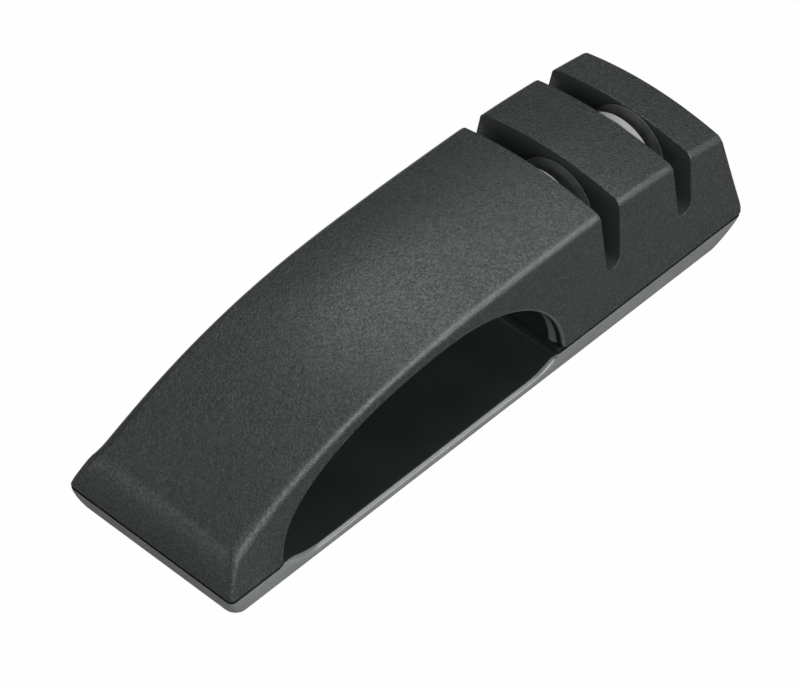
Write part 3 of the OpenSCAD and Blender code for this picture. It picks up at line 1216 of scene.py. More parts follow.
    def inner_point(self, hollow: BodyForm, x: float, v: float) -> Vector:
        """Give a point of the hollow that belongs to a place on the skin."""
        pulled = max(0.0, abs(x) - self.form.half_length + self.end_ramp) / self.end_ramp
        return hollow.point(x - math.copysign(self.wall * pulled, x), v)

    def boss_circle(self, hollow: BodyForm, place: Pair) -> list[Pair]:
        """Give the circle where a screw boss meets the hollow's roof."""
        pairs = []
        for point in ring(Vector((*place, 0)), self.boss_radius):
            pairs.append((point.x, point.y / hollow.section(point.x).up_y))
        return pairs

    def build(self) -> bpy.types.Object:
        """Build the cover.

        Returns:
            The piece.
        """
        draft = Draft()
        columns, rows = self.columns(), self.rows()
        near, far = self.foot_rim(-1, columns), self.foot_rim(1, columns)
        foot = near + far[::-1]
        slots = [self.slot_rim(stage, rows) for stage in self.stages]
        self.outer_skin(draft, columns, rows, near, far, slots)
        for rim in (foot, *slots):
            rows_in = [draft.add(row) for row in self.rim_rows(rim)]
            start = len(draft.faces)
            draft.strip(rows_in[:-1], closed=True)
            if rim is foot:
                self.mark_rim(draft, start, foot)
            start = len(draft.faces)
            draft.strip(rows_in[-2:], closed=True)
            if rim is foot:
                # The opening's cut wall takes the painted shade.
                draft.mark_from(start)
            else:
                self.mark_slot(draft, start, rim)
        self.inner_skin(draft, columns, rows, near, far, slots)
        return draft.finish("top_shell_cover")

    def mark_slot(self, draft: Draft, start: int, rim: list[RimPoint]) -> None:
        """Give a slot's walls the finish of its carrier; at the far end they keep the cover's own.

        Args:
            draft: Piece that has the faces.
            start: Number of the walls' first face.
            rim: The slot's edge.
        """
        for k in range(start, len(draft.faces)):
            if rim[(k - start) % len(rim)].edge[1] <= 2:
                draft.finish_of[k] = Faces.SLOT

    def mark_rim(self, draft: Draft, start: int, foot: list[RimPoint]) -> None:
        """Give the opening's edge its smooth finish, lighter in colour as a painted highlight line, at its
        tail foot and over its head half.

        Args:
            draft: Piece that has the faces.
            start: Number of the edge's first face.
            foot: The edge's points.
        """
        tail = self.opening.tail_foot
        for k in range(start, len(draft.faces)):
            x = foot[(k - start) % len(foot)].edge[0]
            if x > self.rim_highlight_from or abs(x - tail) < self.rim_highlight_foot:
                draft.finish_of[k] = Faces.RIM

    def outline(self, near: list[Pair], far: list[Pair], rows: list[float]) -> list[Pair]:
        """Follow a skin's edge: near foot, head end, far foot and tail end."""
        end = self.form.half_length
        top = rows[1:-1]
        return near + [(end, v) for v in top] + far[::-1] + [(-end, v) for v in reversed(top)]

    def close_ends(self, draft: Draft, outline: list[int], foot: int) -> None:
        """Close a skin at the head and at the tail.

        Args:
            draft: Piece that takes the faces.
            outline: Numbers of the points of the skin's edge.
            foot: How many of them each foot has.
        """
        back = len(outline) // 2 + foot
        draft.faces.append(tuple(outline[foot - 1:back - foot + 1]))
        draft.faces.append((*outline[back - 1:], outline[0]))

    def outer_skin(self, draft: Draft, columns: list[float], rows: list[float], near: list[RimPoint],
                   far: list[RimPoint], slots: list[list[RimPoint]]) -> None:
        """Cover the outside and close both ends.

        Args:
            draft: Piece that takes the faces.
            columns: Places along the body.
            rows: Places across the body.
            near: Foot rim of the near side, from tail to head.
            far: Foot rim of the far side, from tail to head.
            slots: The slots' rims.
        """
        outline = self.outline([p.start for p in near], [p.start for p in far], rows)
        pairs, faces = Lattice(columns, rows).trim(outline, [[p.start for p in rim] for rim in slots])
        numbers = draft.add(self.form.point(*pair) for pair in pairs)
        draft.cover(numbers, faces)
        self.close_ends(draft, numbers[:len(outline)], len(near))

    def inner_skin(self, draft: Draft, columns: list[float], rows: list[float], near: list[RimPoint],
                   far: list[RimPoint], slots: list[list[RimPoint]]) -> None:
        """Cover the hollow inside and stand the screw bosses in it.

        Args:
            draft: Piece that takes the faces.
            columns: Places along the body.
            rows: Places across the body.
            near: Foot rim of the near side, from tail to head.
            far: Foot rim of the far side, from tail to head.
            slots: The slots' rims.
        """
        form = self.form
        hollow = replace(form, half_length=form.half_length - self.wall, side_half=form.side_half - self.wall,
                         crest_height=form.crest_height - self.wall, edge_half=form.edge_half - self.wall,
                         plan_round=0.6, edge_round=0.5, tail_nose=3.5)
        sparse_rows = [rows[0]] + rows[3:-3:4] + [rows[-1]]
        outline = self.outline([p.edge for p in near], [p.edge for p in far], sparse_rows)
        circles = [self.boss_circle(hollow, place) for place in self.screw_places]
        holes = [[p.edge for p in rim] for rim in slots] + circles
        grid = Lattice(columns[:-1:4] + columns[-1:], sparse_rows, room=0.35)
        pairs, faces = grid.trim(outline, holes)
        points = [self.inner_point(hollow, *pair) for pair in pairs]
        ends = {}
        for rim in (near, far, *slots):
            ends.update(zip([p.edge for p in rim], self.rim_rows(rim)[-1]))
        numbers = draft.add(ends.get(pair, point) for pair, point in zip(pairs, points))
        draft.cover(numbers, (face[::-1] for face in faces))
        self.close_ends(draft, numbers[:len(outline)], len(near))
        start = len(outline) + sum(len(rim) for rim in slots)
        for place, circle in zip(self.screw_places, circles):
            self.boss(draft, numbers[start:start + len(circle)], place)
            start += len(circle)

    def boss(self, draft: Draft, roof: list[int], place: Pair) -> None:
        """Stand a bored screw boss under the roof.

        Args:
            draft: Piece that takes the faces.
            roof: The circle where it leaves the roof.
            place: X and Y of its middle.
        """
        foot = Vector((*place, self.form.seam))
        top = foot + Vector((0, 0, self.boss_depth))
        circles = [ring(foot, self.boss_radius), ring(foot, self.boss_bore), ring(top, self.boss_bore)]
        loops = [roof] + [draft.add(circle) for circle in circles]
        draft.strip(loops, closed=True)
        draft.faces.append(tuple(loops[-1]))

    def make(self) -> None:
        """Build the cover, dress it and put it in place."""
        piece = self.build()
        Finishes.SHELL.dress(piece, Finishes.INSIDE, Finishes.RIM, Finishes.CARRIER)
        settle(piece, "top_shell")


@dataclass
class GripLiner:
    """Smooth lining of the grip opening, with a rounded lip at both sides."""

    opening: GripOpening
    form: BodyForm
    side_gap: float = 2.3
    step: float = 0.1
    wall: float = 1.7
    flat_parts: int = 12
    lip_width: float = 2.6
    lip_rise: float = 1.2

    def line(self, t: float) -> list[Vector]:
        """Give the closed section of the lining at a place on the arch.

        Args:
            t: Angle on the arch.

        Returns:
            The section's points.
        """
        half = self.form.side_half_at(*self.opening.point(t, self.step + self.wall)[:2]) - self.side_gap
        flat = half - self.lip_width
        lip = []
        for turn in spread(0, math.pi / 2, 8)[1:]:
            rise = self.lip_rise * (1 - math.cos(turn))
            lip.append((flat + self.lip_width * math.sin(turn), self.step + rise))
        profile = [(y, self.step) for y in spread(-flat, flat, self.flat_parts)] + lip
        profile += [(half, self.step + self.wall), (-half, self.step + self.wall)]
        profile += [(-y, out) for y, out in reversed(lip)]
        points = []
        for y, out in profile:
            x, z, _, _ = self.opening.point(t, out)
            points.append(Vector((x, y, z)))
        return points

    def make(self) -> None:
        """Build the lining, dress it and put it in place."""
        draft = Draft()
        rows = [draft.add(self.line(t)) for t in spread(0, math.pi, 110)]
        draft.strip(rows, closed=True)
        count = len(rows[0])
        flat = (k for k in range(len(draft.faces)) if k % count < self.flat_parts)
        # The lining's inner face takes the painted shade; the lip keeps the lining's own colour.
        draft.finish_of.update(dict.fromkeys(flat, Faces.INSIDE))
        draft.faces += [tuple(rows[0]), tuple(rows[-1])]
        piece = draft.finish("grip_liner_arch")
        Finishes.LINER.dress(piece, Finishes.INSIDE)
        settle(piece, "grip_liner")


@dataclass
class BaseTray:
    """Smooth tray with drawn-in lower edges, a scooped grip floor and hollow ends."""

    half_length: float
    side_half: float
    bottom: float
    seam: float
    opening: GripOpening
    screw_places: tuple[Pair, ...]
    foot_places: tuple[Pair, ...]
    head_inset: float = 8.0
    tail_inset: float = 3.0
    side_inset: float = 1.0
    floor: float = 3.6
    groove: float = 0.85
    groove_depth: float = 0.9
    under_round: float = 0.9
    rim_round: float = 0.06
    sill_round: float = 1.5
    corner: float = 1.0
    foot_round: float = 1.5
    foot_turn: float = 62.0
    foot_close: float = 0.6
    sill_depth: float = 2.0
    sill_step: float = 0.3
    sill_power: float = 0.6
    tail_run: float = 14.6
    tail_power: float = 1.7
    head_run: float = 11.0
    head_power: float = 2.1
    draw_power: float = 1.5
    plan_round: float = 1.5
    plan_growth: float = 2.0
    cavity_half: float = 23.6
    cavity_round: float = 2.0
    cavity_gap: float = 3.0
    tail_wall: float = 2.4
    head_wall: float = 1.4
    foot_radius: float = 4.55
    foot_sunk: float = 0.8
    post_radius: float = 3.8
    screw_hole: float = 1.7
    head_hole: float = 3.0
    screw_seat: float = 4.8
    part_counts: tuple[int, ...] = (8, 7, 110, 7, 16, 7, 110, 7, 8)
    over_top: float = 2.4

    @property
    def top(self) -> float:
        """Height of the outer wall, under the seam's groove."""
        return self.seam - self.groove

    def plan(self, z: float, inset: float) -> tuple[float, float, float, float]:
        """Give the outline's tail, head, half width and corner radius at a height."""
        drawn = max(0.0, 1 - (z - self.bottom) / (self.seam - self.bottom)) ** self.draw_power
        tail = -self.half_length + self.tail_inset * drawn + inset
        head = self.half_length - self.head_inset * drawn - inset
        corner = self.plan_round + self.plan_growth * drawn - 0.4 * inset
        return tail, head, self.side_half - self.side_inset * drawn - inset, corner

    def height(self, w: float) -> Pair:
        """Give the height and inset for a place up the wall: 0 under, 1 past the rounding, 2 at the top."""
        if w < 1:
            turn, size = w * math.pi / 2, self.under_round
            return self.bottom + size * (1 - math.cos(turn)), size * (1 - math.sin(turn))
        low = self.bottom + self.under_round
        return low + (w - 1) * (self.top - low), 0.0

    def point(self, u: float, w: float) -> Vector:
        """Give a point of the outer wall.

        Args:
            u: Place round it from 0 to 9: tail middle, near corner, near side, corner, head,
                corner, far side, corner, tail middle.
            w: Place up it.

        Returns:
            The point.
        """
        z, inset = self.height(w)
        tail, head, half, radius = self.plan(z, inset)
        part = min(8, int(u))
        t = u - part
        flat = half - radius
        if part in (1, 3, 5, 7):
            x = head - radius if part in (3, 5) else tail + radius
            y = -flat if part in (1, 3) else flat
            angle = math.pi + (part - 1) / 2 * math.pi / 2 + t * math.pi / 2
            return Vector((x + radius * math.cos(angle), y + radius * math.sin(angle), z))
        if part in (0, 8):
            return Vector((tail, -flat * t if part == 0 else flat * (1 - t), z))
        if part == 4:
            return Vector((head, -flat + 2 * flat * t, z))
        run = head - tail - 2 * radius
        x = tail + radius + run * (t if part == 2 else 1 - t)
        return Vector((x, -half if part == 2 else half, z))

    def side_pair(self, side: int, x: float, z: float) -> Pair:
        """Give the wall parameters of a place on a long side."""
        low = self.bottom + self.under_round
        w = 1 + (z - low) / (self.top - low)
        tail, head, _, radius = self.plan(z, 0)
        t = (x - tail - radius) / (head - tail - 2 * radius)
        return (2 + t, w) if side < 0 else (7 - t, w)

    def foot_arc(self) -> list[tuple[float, ...]]:
        """Follow the base's edge up round the shell's rounded corner at the tail end of the opening.

        Returns:
            X, Z, the X and Z of the direction out of the material, and the rounding's size.
        """
        path = []
        for turn in spread(0, 1, 8):
            angle = math.radians(-90 + self.foot_turn * turn)
            out = Vector((-math.cos(angle), -math.sin(angle)))
            radius = self.foot_round + self.groove * (1 - self.foot_close * turn)
            x = self.opening.tail_foot - self.foot_round - radius * out.x
            path.append((x, self.seam + self.foot_round - radius * out.y, out.x, out.y, self.rim_round))
        return path

    def scoop(self, x: float) -> float:
        """Give the height of the grip floor."""
        peak_x, peak = self.foot_arc()[-1][:2]
        tail = max(0.0, 1 - (x - peak_x) / self.tail_run) ** self.tail_power
        head = max(0.0, 1 - (self.opening.head_foot - x) / self.head_run) ** self.head_power
        return self.floor + (peak - self.floor) * tail + (self.seam - self.floor) * head

    def scoop_path(self) -> list[tuple[float, ...]]:
        """Follow the near edge of the scoop from tail to head.

        Returns:
            X, Z, the X and Z of the direction out of the material, and the rounding's size.
        """
        path = self.foot_arc()
        tail, head, bend = path[-1][0], self.opening.head_foot, self.corner
        places = spread(tail, tail + self.tail_run, 18)[1:]
        places += spread(tail + self.tail_run, head - self.head_run, 48)[1:]
        places += spread(head - self.head_run, head, 14)[1:]
        step = 0.01
        for x in places:
            z = self.scoop(x)
            slope = (self.scoop(x + step) - self.scoop(x - step)) / (2 * step)
            out = Vector((-slope, 1)).normalized()
            share = max(0.0, min(1.0, (self.seam - z) / (0.5 * (self.seam - self.floor))))
            size = self.rim_round + (self.sill_round - self.rim_round) * share ** self.sill_power
            if x < 0 or z < self.top - bend * 0.6:
                path.append((x, z, out.x, out.y, size))
        x, z, out_x, out_z, size = path[-1]
        arc = conic(Vector((x, z)), Vector((x + 0.25 * bend, self.top)), Vector((x + bend, self.top)), 5)
        for k, place in enumerate(arc[1:], 1):
            share = 1 - k / 5
            out = Vector((out_x * share, 1 - share + out_z * share)).normalized()
            path.append((place.x, place.y, out.x, out.y, self.rim_round + (size - self.rim_round) * share))
        return path

    def rim_point(self, side: int, x: float, z: float, out_x: float, out_z: float, size: float) -> RimPoint:
        """Make a rim point on a long side."""
        start = self.side_pair(side, x - size * out_x, z - size * out_z)
        return RimPoint(self.side_pair(side, x, z), start, Vector((out_x, 0, out_z)), size)

    def level_rim(self, places: Iterable[float]) -> list[RimPoint]:
        """Make rim points along the wall's level top."""
        low = self.bottom + self.under_round
        start = 2 - self.rim_round / (self.top - low)
        return [RimPoint((u, 2.0), (u, start), Vector((0, 0, 1)), self.rim_round) for u in places]

    def rim_rows(self, rim: Sequence[RimPoint]) -> list[list[Vector]]:
        """Round the wall's upper edge.

        Args:
            rim: The edge's points.

        Returns:
            Rows of points from the wall to the inner end of the rounding, and the inward directions.
        """
        lines = []
        step = 0.004
        for point in rim:
            u, w = point.edge
            edge = self.point(u, w)
            along = self.point(min(9.0, u + step), w) - self.point(max(0.0, u - step), w)
            normal = along.cross(edge - self.point(u, w - step)).normalized()
            line, inward = rounded_edge(point, self.point(*point.start), edge, normal, 5)
            lines.append(line + [inward])
        return [list(row) for row in zip(*lines)]

    def build(self) -> bpy.types.Object:
        """Build the tray.

        Returns:
            The piece.
        """
        draft = Draft()
        columns = [0.0]
        for part, count in enumerate(self.part_counts):
            columns += [part + t for t in spread(0, 1, count)[1:]]
        rows = spread(0, 1, 5) + spread(1, 2, 7)[1:] + [self.over_top]
        path = self.scoop_path()
        near = [self.rim_point(-1, *point) for point in path]
        far = [self.rim_point(1, *point) for point in reversed(path)]
        gap = 0.004
        tail_near = self.level_rim(u for u in columns if u < near[0].edge[0] - gap)
        head = self.level_rim(u for u in columns if near[-1].edge[0] + gap < u < far[0].edge[0] - gap)
        tail_far = self.level_rim(u for u in columns if u > far[-1].edge[0] + gap)
        rim = tail_near + near + head + far + tail_far
        under = [(u, 0.0) for u in columns]
        right = [(columns[-1], w) for w in rows[1:] if w < rim[-1].start[1] - 0.05]
        left = [(columns[0], pair[1]) for pair in reversed(right)]
        outline = under + right + [p.start for p in reversed(rim)] + left
        pairs, faces = Lattice(columns, rows).trim(outline, [])
        numbers = draft.add(self.point(*pair) for pair in pairs)
        draft.cover(numbers, faces)
        lines = self.rim_rows(rim)
        inward = lines.pop()
        loops = [draft.add(line) for line in lines]
        draft.strip(loops)
        marks = (len(tail_near), len(tail_near) + len(near) - 1,
                 len(tail_near) + len(near) + len(head), len(rim) - len(tail_far) - 1)
        self.top_side(draft, loops[-1], lines[-1], inward, marks)
        self.underside(draft, numbers[:len(under) - 1])
        return draft.finish("base_tray", crease=34.0)

    def top_side(self, draft: Draft, edge: list[int], points: list[Vector], inward: list[Vector],
                 marks: tuple[int, int, int, int]) -> None:
        """Make the grip floor, the ledges beside the seam and the hollow ends.

        Args:
            draft: Piece that takes the faces.
            edge: Numbers of the rim's inner points.
            points: The same points.
            inward: Directions into the tray there.
            marks: Where the near scoop starts and ends, and the far one.
        """
        near_first, near_last, far_first, far_last = marks
        ledge = self.groove_depth - self.rim_round
        rows = []
        for k in range(near_last - near_first + 1):
            first, last = near_first + k, far_last - k
            a, b = points[first], points[last]
            sunk = a + Vector((0, 0, min(0.0, self.seam - self.rim_round - a.z)))
            width, step = b.y - a.y, self.sill_depth + self.sill_step
            inner = [a + Vector((0, y, 0)) for y in (ledge, self.sill_depth)]
            inner += [sunk + Vector((0, y, 0)) for y in spread(step, width - step, 10)]
            inner += [a + Vector((0, y, 0)) for y in (width - self.sill_depth, width - ledge)]
            rows.append([edge[first]] + draft.add(inner) + [edge[last]])
        start = len(draft.faces)
        draft.strip(rows)
        # The grip floor under the lining takes the painted shade.
        draft.mark_from(start)
        lift = Vector((0, 0, self.groove))
        tail = list(range(far_last, len(edge))) + list(range(1, near_first + 1))
        head = list(range(near_last, far_first + 1))
        tail_cavity = (-self.half_length + self.tail_inset + self.tail_wall,
                       self.opening.tail_foot - self.cavity_gap)
        head_cavity = (self.opening.head_foot + self.cavity_gap,
                       self.half_length - self.head_inset - self.head_wall)
        for stretch, row, span in ((tail, rows[0][::-1], tail_cavity), (head, rows[-1], head_cavity)):
            start = len(draft.faces)
            shelf = draft.add(points[k] + inward[k] * ledge for k in stretch)
            raised = draft.add(draft.points[n] + lift for n in shelf)
            draft.strip([[edge[k] for k in stretch], shelf, raised])
            step = draft.add(Vector((*draft.points[n].xy, self.seam)) for n in row[1:-1])
            draft.strip([row[1:-1], step])
            if (draft.points[step[0]] - draft.points[raised[0]]).length < 1:
                step.reverse()
            self.cavity(draft, raised[1:-1] + step, span)
            # The ledges in the seam's groove, the steps and the hollow ends take the painted shade.
            draft.mark_from(start)

    def cavity(self, draft: Draft, outline: list[int], span: Pair) -> None:
        """Hollow out one end and stand the screw posts in it.

        Args:
            draft: Piece that takes the faces.
            outline: The raised rim's outer points.
            span: Where the hollow starts and ends along the body.
        """
        half, radius = self.cavity_half, self.cavity_round
        plan = []
        for number in range(4):
            x = (span[1] if number in (0, 3) else span[0]) + radius * (-1 if number in (0, 3) else 1)
            y = (half - radius) * (1 if number < 2 else -1)
            for angle in spread(number * math.pi / 2, (number + 1) * math.pi / 2, 6):
                plan.append(Vector((x + radius * math.cos(angle), y + radius * math.sin(angle), 0)))
        upper = draft.add(point + Vector((0, 0, self.seam)) for point in plan)
        lower = draft.add(point + Vector((0, 0, self.floor)) for point in plan)
        draft.level_fill(outline, [upper])
        draft.strip([upper, lower], closed=True)
        posts = []
        for place in self.screw_places:
            if span[0] < place[0] < span[1]:
                posts.append(self.post(draft, place))
        draft.level_fill(lower, posts)

    def post(self, draft: Draft, place: Pair) -> list[int]:
        """Stand a screw post with its hole and the well for the screw's head.

        Args:
            draft: Piece that takes the faces.
            place: X and Y of the screw.

        Returns:
            The circle where the post meets the floor.
        """
        steps = ((self.post_radius, self.floor), (self.post_radius, self.seam), (self.screw_hole, self.seam),
                 (self.screw_hole, self.screw_seat), (self.head_hole, self.screw_seat),
                 (self.head_hole, self.bottom))
        loops = [draft.add(ring(Vector((*place, z)), radius)) for radius, z in steps]
        draft.strip(loops, closed=True)
        return loops[0]

    def underside(self, draft: Draft, outline: list[int]) -> None:
        """Close the underside, leaving the screw wells open and sinking the feet.

        Args:
            draft: Piece that takes the faces.
            outline: The underside's edge.
        """
        holes = []
        for place in self.screw_places:
            holes.append(draft.add(ring(Vector((*place, self.bottom)), self.head_hole)))
        for place in self.foot_places:
            low = draft.add(ring(Vector((*place, self.bottom)), self.foot_radius))
            high = draft.add(ring(Vector((*place, self.bottom + self.foot_sunk)), self.foot_radius))
            draft.strip([low, high], closed=True)
            draft.faces.append(tuple(high))
            holes.append(low)
        draft.level_fill(outline, holes)

    def make(self) -> None:
        """Build the tray, dress it and put it in place."""
        piece = self.build()
        Finishes.BASE.dress(piece, Finishes.INSIDE)
        settle(piece, "base")


class Corner(Enum):
    """The four corners where feet and screws sit."""

    TAIL_LEFT = "tail_left"
    TAIL_RIGHT = "tail_right"
    HEAD_LEFT = "head_left"
    HEAD_RIGHT = "head_right"


@dataclass
class Feet:
    """Rubber feet with rounded rims and a dished contact face."""

    rim: float = 0.45
    dish: float = 0.2
    dish_share: float = 0.62
    dish_run: float = 0.6
    dish_edge: float = 0.5
    dish_rim: float = 0.3
    top_edge: float = 0.1
    middle_hole: float = 0.02

    def make(self) -> None:
        """Build the four feet, dress them and put them in place."""
        for corner in Corner:
            node = f"foot_{corner.value}"
            low, high = box_mm(node)
            middle = (low + high) / 2
            radius = (high.x - low.x) / 2
            inner = radius * self.dish_share
            hole, dished = self.middle_hole, low.z + self.dish
            profile = rounded_profile([(dished, hole, 0), (dished, inner, self.dish_edge),
                                       (low.z, inner + self.dish_run, self.dish_rim),
                                       (low.z, radius, self.rim), (high.z, radius, self.top_edge),
                                       (high.z, hole, 0)])

            def place(along: float, out: float, angle: float) -> Vector:
                """Put a point of the foot's profile round its axis."""
                return Vector((middle.x + out * math.cos(angle), middle.y + out * math.sin(angle), along))

            draft = Draft()
            lathe(draft, profile, place, 64)
            piece = draft.finish(f"{node}_pad")
            Finishes.FOOT.dress(piece)
            settle(piece, node)


class Side(Enum):
    """Which wheel of a pair: the one towards the grip or towards the head."""

    GRIP = "grip"
    HEAD = "head"


@dataclass
class SharpeningStage:
    """A pair of bevelled wheels on one axle, in their carrier."""

    name: str
    light: Colour
    dark: Colour
    worn: Colour
    grit: float
    face_gap: float = 0.15
    grip_bevel: float = 1.9
    head_bevel: float = 1.9
    bevel_start: float = 7.39
    edge: float = 0.2
    bore_edge: float = 0.1
    head_rim_dust_and_shade: float = 0.5
    rough: float = 0.55
    carrier_gap: float = 0.03

    @property
    def middle(self) -> float:
        """X of the middle between the two wheels."""
        left, right = box_mm(f"{self.name}_wheel_grip")[1], box_mm(f"{self.name}_wheel_head")[0]
        return (left.x + right.x) / 2

    @property
    def carrier_reach(self) -> Pair:
        """Height and half width of the carrier, with a hair's clearance."""
        high = box_mm(f"{self.name}_carrier")[1]
        return high.z + self.carrier_gap, high.y + self.carrier_gap

    def bevel(self, side: Side) -> float:
        """Give how far from the middle a wheel's bevel ends."""
        return self.grip_bevel if side is Side.GRIP else self.head_bevel

    def finish(self, side: Side, axis: Pair) -> Ceramic:
        """Give a wheel's finish; the dark dust colour also covers the rim of the wheel towards the head, as
        dust and as painted shade there.
        """
        # The head wheel's rim takes the dust colour too, painting shade there.
        half = self.bevel(side) + (self.head_rim_dust_and_shade if side is Side.HEAD else 0.0)
        return Ceramic(f"{self.name}_{side.value}_abrasive", self.light, self.rough, self.grit, self.dark,
                       self.worn, (self.bevel_start - self.edge) * MM, (self.middle * MM, *axis), half * MM)

    def wheel(self, side: Side) -> None:
        """Build a wheel, dress it and put it in place.

        Args:
            side: Which wheel of the pair.
        """
        node = f"{self.name}_wheel_{side.value}"
        low, high = box_mm(node)
        centre = (low + high) / 2
        radius = (high.z - low.z) / 2
        bore = box_mm(f"{self.name}_bush_{side.value}")[1].z - centre.z
        sign = -1 if side is Side.GRIP else 1
        inner, outer = (high.x, low.x) if side is Side.GRIP else (low.x, high.x)
        shoulder = inner + sign * (self.bevel(side) - self.face_gap)
        profile = rounded_profile([(inner, bore, self.bore_edge), (inner, self.bevel_start, self.edge),
                                   (shoulder, radius, self.edge), (outer, radius, self.edge),
                                   (outer, bore, self.bore_edge)])

        def place(along: float, out: float, angle: float) -> Vector:
            """Put a point of the wheel's profile round the axle."""
            return Vector((along, centre.y + out * math.cos(angle), centre.z + out * math.sin(angle)))

        draft = Draft()
        lathe(draft, profile, place, 128)
        piece = draft.finish(f"{node}_stone")
        piece.data.materials.append(self.finish(side, (centre.y * MM, centre.z * MM)).material())
        settle(piece, node, f"{self.name}_{side.value}_roller")

    def make(self) -> None:
        """Build both wheels and dress the pieces that stay as they are packed."""
        for side in Side:
            self.wheel(side)
            dress_node(f"{self.name}_bush_{side.value}", Finishes.BUSH)
        dress_node(f"{self.name}_carrier", Finishes.CARRIER)
        dress_node(f"{self.name}_axle", Finishes.AXLE)
        dress_node(f"{self.name}_clip", Finishes.AXLE)


def dress_node(node: str, finish: Finishes) -> None:
    """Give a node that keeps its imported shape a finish."""
    finish.dress(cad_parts[node])
    LOG.info("%s: packed shape, %s", node, finish.value.name)


# The photograph's setting

@dataclass
class PhotoCamera:
    """Camera that repeats the photograph's view."""

    azimuth: float = -51.018
    elevation: float = 45.162
    roll: float = 4.55
    distance: float = 1086.65
    across: float = -4.03
    up: float = 5.51
    lift: float = 0.8
    focal_pixels: float = 4361.6
    image_width: float = 800.0
    sensor: float = 36.0
    sight: float = 20.0

    def make(self) -> None:
        """Create the camera and make it the scene's."""
        azimuth, elevation = math.radians(self.azimuth), math.radians(self.elevation)
        back = Vector((math.sin(azimuth) * math.cos(elevation), -math.cos(azimuth) * math.cos(elevation),
                       math.sin(elevation)))
        level = Vector((math.cos(azimuth), math.sin(azimuth), 0))
        turn = Matrix.Rotation(math.radians(self.roll), 3, back)
        right, top = turn @ level, turn @ back.cross(level)
        place = back * self.distance + right * self.across + top * self.up + Vector((0, 0, self.lift))
        data = bpy.data.cameras.new("photo_camera")
        data.sensor_width = self.sensor
        data.lens = self.focal_pixels * self.sensor / self.image_width
        data.clip_end = self.sight
        camera = bpy.data.objects.new("photo_camera", data)
        facing = Matrix((right, top, back)).transposed().to_4x4()
        camera.matrix_world = Matrix.Translation(place * MM) @ facing
        bpy.context.scene.collection.objects.link(camera)
        bpy.context.scene.camera = camera


@dataclass(frozen=True)
class Softbox:
    """A lamp with a rectangular screen that looks at the object.

    Attributes:
        name: The lamp's name.
        direction: Where it stands, seen from the object.
        distance: How far away, in metres.
        size: Its width and height in metres.
        power: Its power in watts.
    """

    name: str
    direction: Triple
    distance: float
    size: Pair
    power: float

    def make(self) -> None:
        """Hang the lamp."""
        data = bpy.data.lights.new(self.name, "AREA")
        data.shape = "RECTANGLE"
        data.size, data.size_y = self.size
        data.energy = self.power
        lamp = bpy.data.objects.new(self.name, data)
        direction = Vector(self.direction).normalized()
        lamp.location = direction * self.distance
        lamp.rotation_euler = direction.to_track_quat("Z", "Y").to_euler()
        bpy.context.scene.collection.objects.link(lamp)


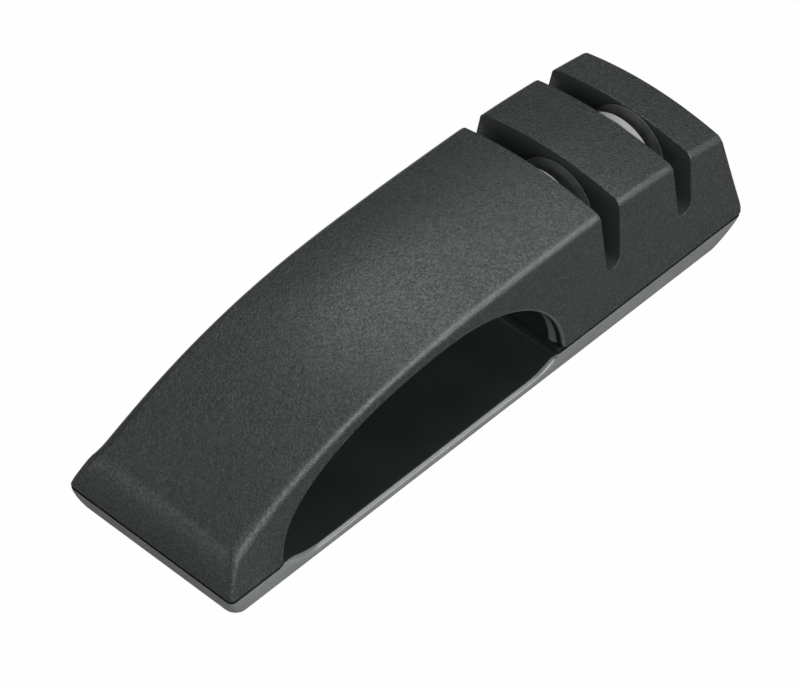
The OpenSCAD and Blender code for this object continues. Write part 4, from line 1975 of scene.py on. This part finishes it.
@dataclass
class Studio:
    """White floor and backdrop with soft light."""

    floor_half: float = 3.0
    floor_tone: float = 0.16
    ambient: float = 0.1
    glow: float = 0.99
    glow_in_gloss: float = 0.13
    lamps: tuple[Softbox, ...] = (
        Softbox("strip_front", (0.2, -0.8, 0.5), 0.9, (1.1, 0.36), 5.2),
        Softbox("strip_overhead", (0.44, 0.1, 0.9), 1.0, (1.0, 0.45), 5.0),
        Softbox("fill_tail", (-0.45, -0.85, 0.35), 0.4, (0.5, 0.26), 0.7),
        Softbox("fill_above", (-0.1, 0.5, 0.86), 1.0, (0.8, 0.8), 1.0),
        Softbox("fill_end", (-0.8, 0.42, 0.35), 0.9, (0.6, 0.6), 1.9),
    )

    def white_share(self, graph: Graph) -> Signal:
        """Give the floor's share of plain white: large to the camera, small in a gloss or through glass."""
        path = graph.make("ShaderNodeLightPath")
        names = ("Is Camera Ray", "Is Glossy Ray", "Is Transmission Ray")
        camera, gloss, through = (Signal(graph, path.outputs[name]) for name in names)
        return camera * self.glow + gloss * self.glow_in_gloss + through * self.glow_in_gloss

    def floor(self) -> None:
        """Lay the floor, which shows white and keeps the object's shadow."""
        half = self.floor_half
        mesh = bpy.data.meshes.new("studio_floor")
        corners = [(-half, -half, 0), (half, -half, 0), (half, half, 0), (-half, half, 0)]
        mesh.from_pydata(corners, [], [(0, 1, 2, 3)])
        piece = bpy.data.objects.new("studio_floor", mesh)
        bpy.context.scene.collection.objects.link(piece)
        material = bpy.data.materials.new("studio_white")
        material.use_nodes = True
        graph = Graph(material.node_tree)
        tone = (self.floor_tone, self.floor_tone, self.floor_tone, 1)
        matt = graph.make("ShaderNodeBsdfDiffuse", inputs={"Color": tone})
        white = graph.make("ShaderNodeEmission", inputs={"Color": (1, 1, 1, 1), "Strength": 1.0})
        both = graph.blend(self.white_share(graph), matt, white)
        graph.make("ShaderNodeOutputMaterial", inputs={"Surface": both})
        mesh.materials.append(material)

    def world(self) -> None:
        """Fill the surroundings: white to the camera, soft light to the object."""
        world = bpy.data.worlds.new("studio_air")
        bpy.context.scene.world = world
        world.use_nodes = True
        graph = Graph(world.node_tree)
        path = graph.make("ShaderNodeLightPath")
        soft = graph.make("ShaderNodeBackground", inputs={"Color": (1, 1, 1, 1), "Strength": self.ambient})
        white = graph.make("ShaderNodeBackground", inputs={"Color": (1, 1, 1, 1), "Strength": 1.0})
        both = graph.blend(path.outputs["Is Camera Ray"], soft, white)
        graph.make("ShaderNodeOutputWorld", inputs={"Surface": both})

    def make(self) -> None:
        """Set up the floor, the surroundings, the lamps and the plain view settings."""
        self.floor()
        self.world()
        for lamp in self.lamps:
            lamp.make()
        bpy.context.scene.view_settings.view_transform = "Standard"


def corner_places(kind: str) -> tuple[Pair, ...]:
    """Give the middles of the four feet or screws."""
    places = []
    for corner in Corner:
        low, high = box_mm(f"{kind}_{corner.value}")
        places.append(((low.x + high.x) / 2, (low.y + high.y) / 2))
    return tuple(places)


def main() -> None:
    """Build every piece, dress it and set up the photograph's setting."""
    logging.basicConfig(level=logging.INFO, format="%(name)s: %(message)s")
    PhotoCamera().make()
    shell_low, shell_high = box_mm("top_shell")
    base_low, base_high = box_mm("base")
    form = BodyForm(shell_high.x, shell_high.y, shell_low.z, shell_high.z)
    opening = GripOpening(shell_low.z)
    screws = corner_places("screw")
    stages = (
        SharpeningStage("coarse", (0.3, 0.305, 0.29), (0.25, 0.25, 0.235), (0.072, 0.084, 0.073), 2600.0,
                        grip_bevel=2.5),
        SharpeningStage("fine", (0.36, 0.365, 0.355), (0.31, 0.315, 0.305), (0.055, 0.063, 0.058), 4200.0),
    )
    TopShell(form, opening, stages, screws).make()
    GripLiner(opening, form).make()
    feet = corner_places("foot")
    BaseTray(shell_high.x, shell_high.y, base_low.z, base_high.z, opening, screws, feet).make()
    Feet().make()
    for corner in Corner:
        dress_node(f"screw_{corner.value}", Finishes.SCREW)
    for stage in stages:
        stage.make()
    Studio().make()


if __name__ == "__main__":
    main()
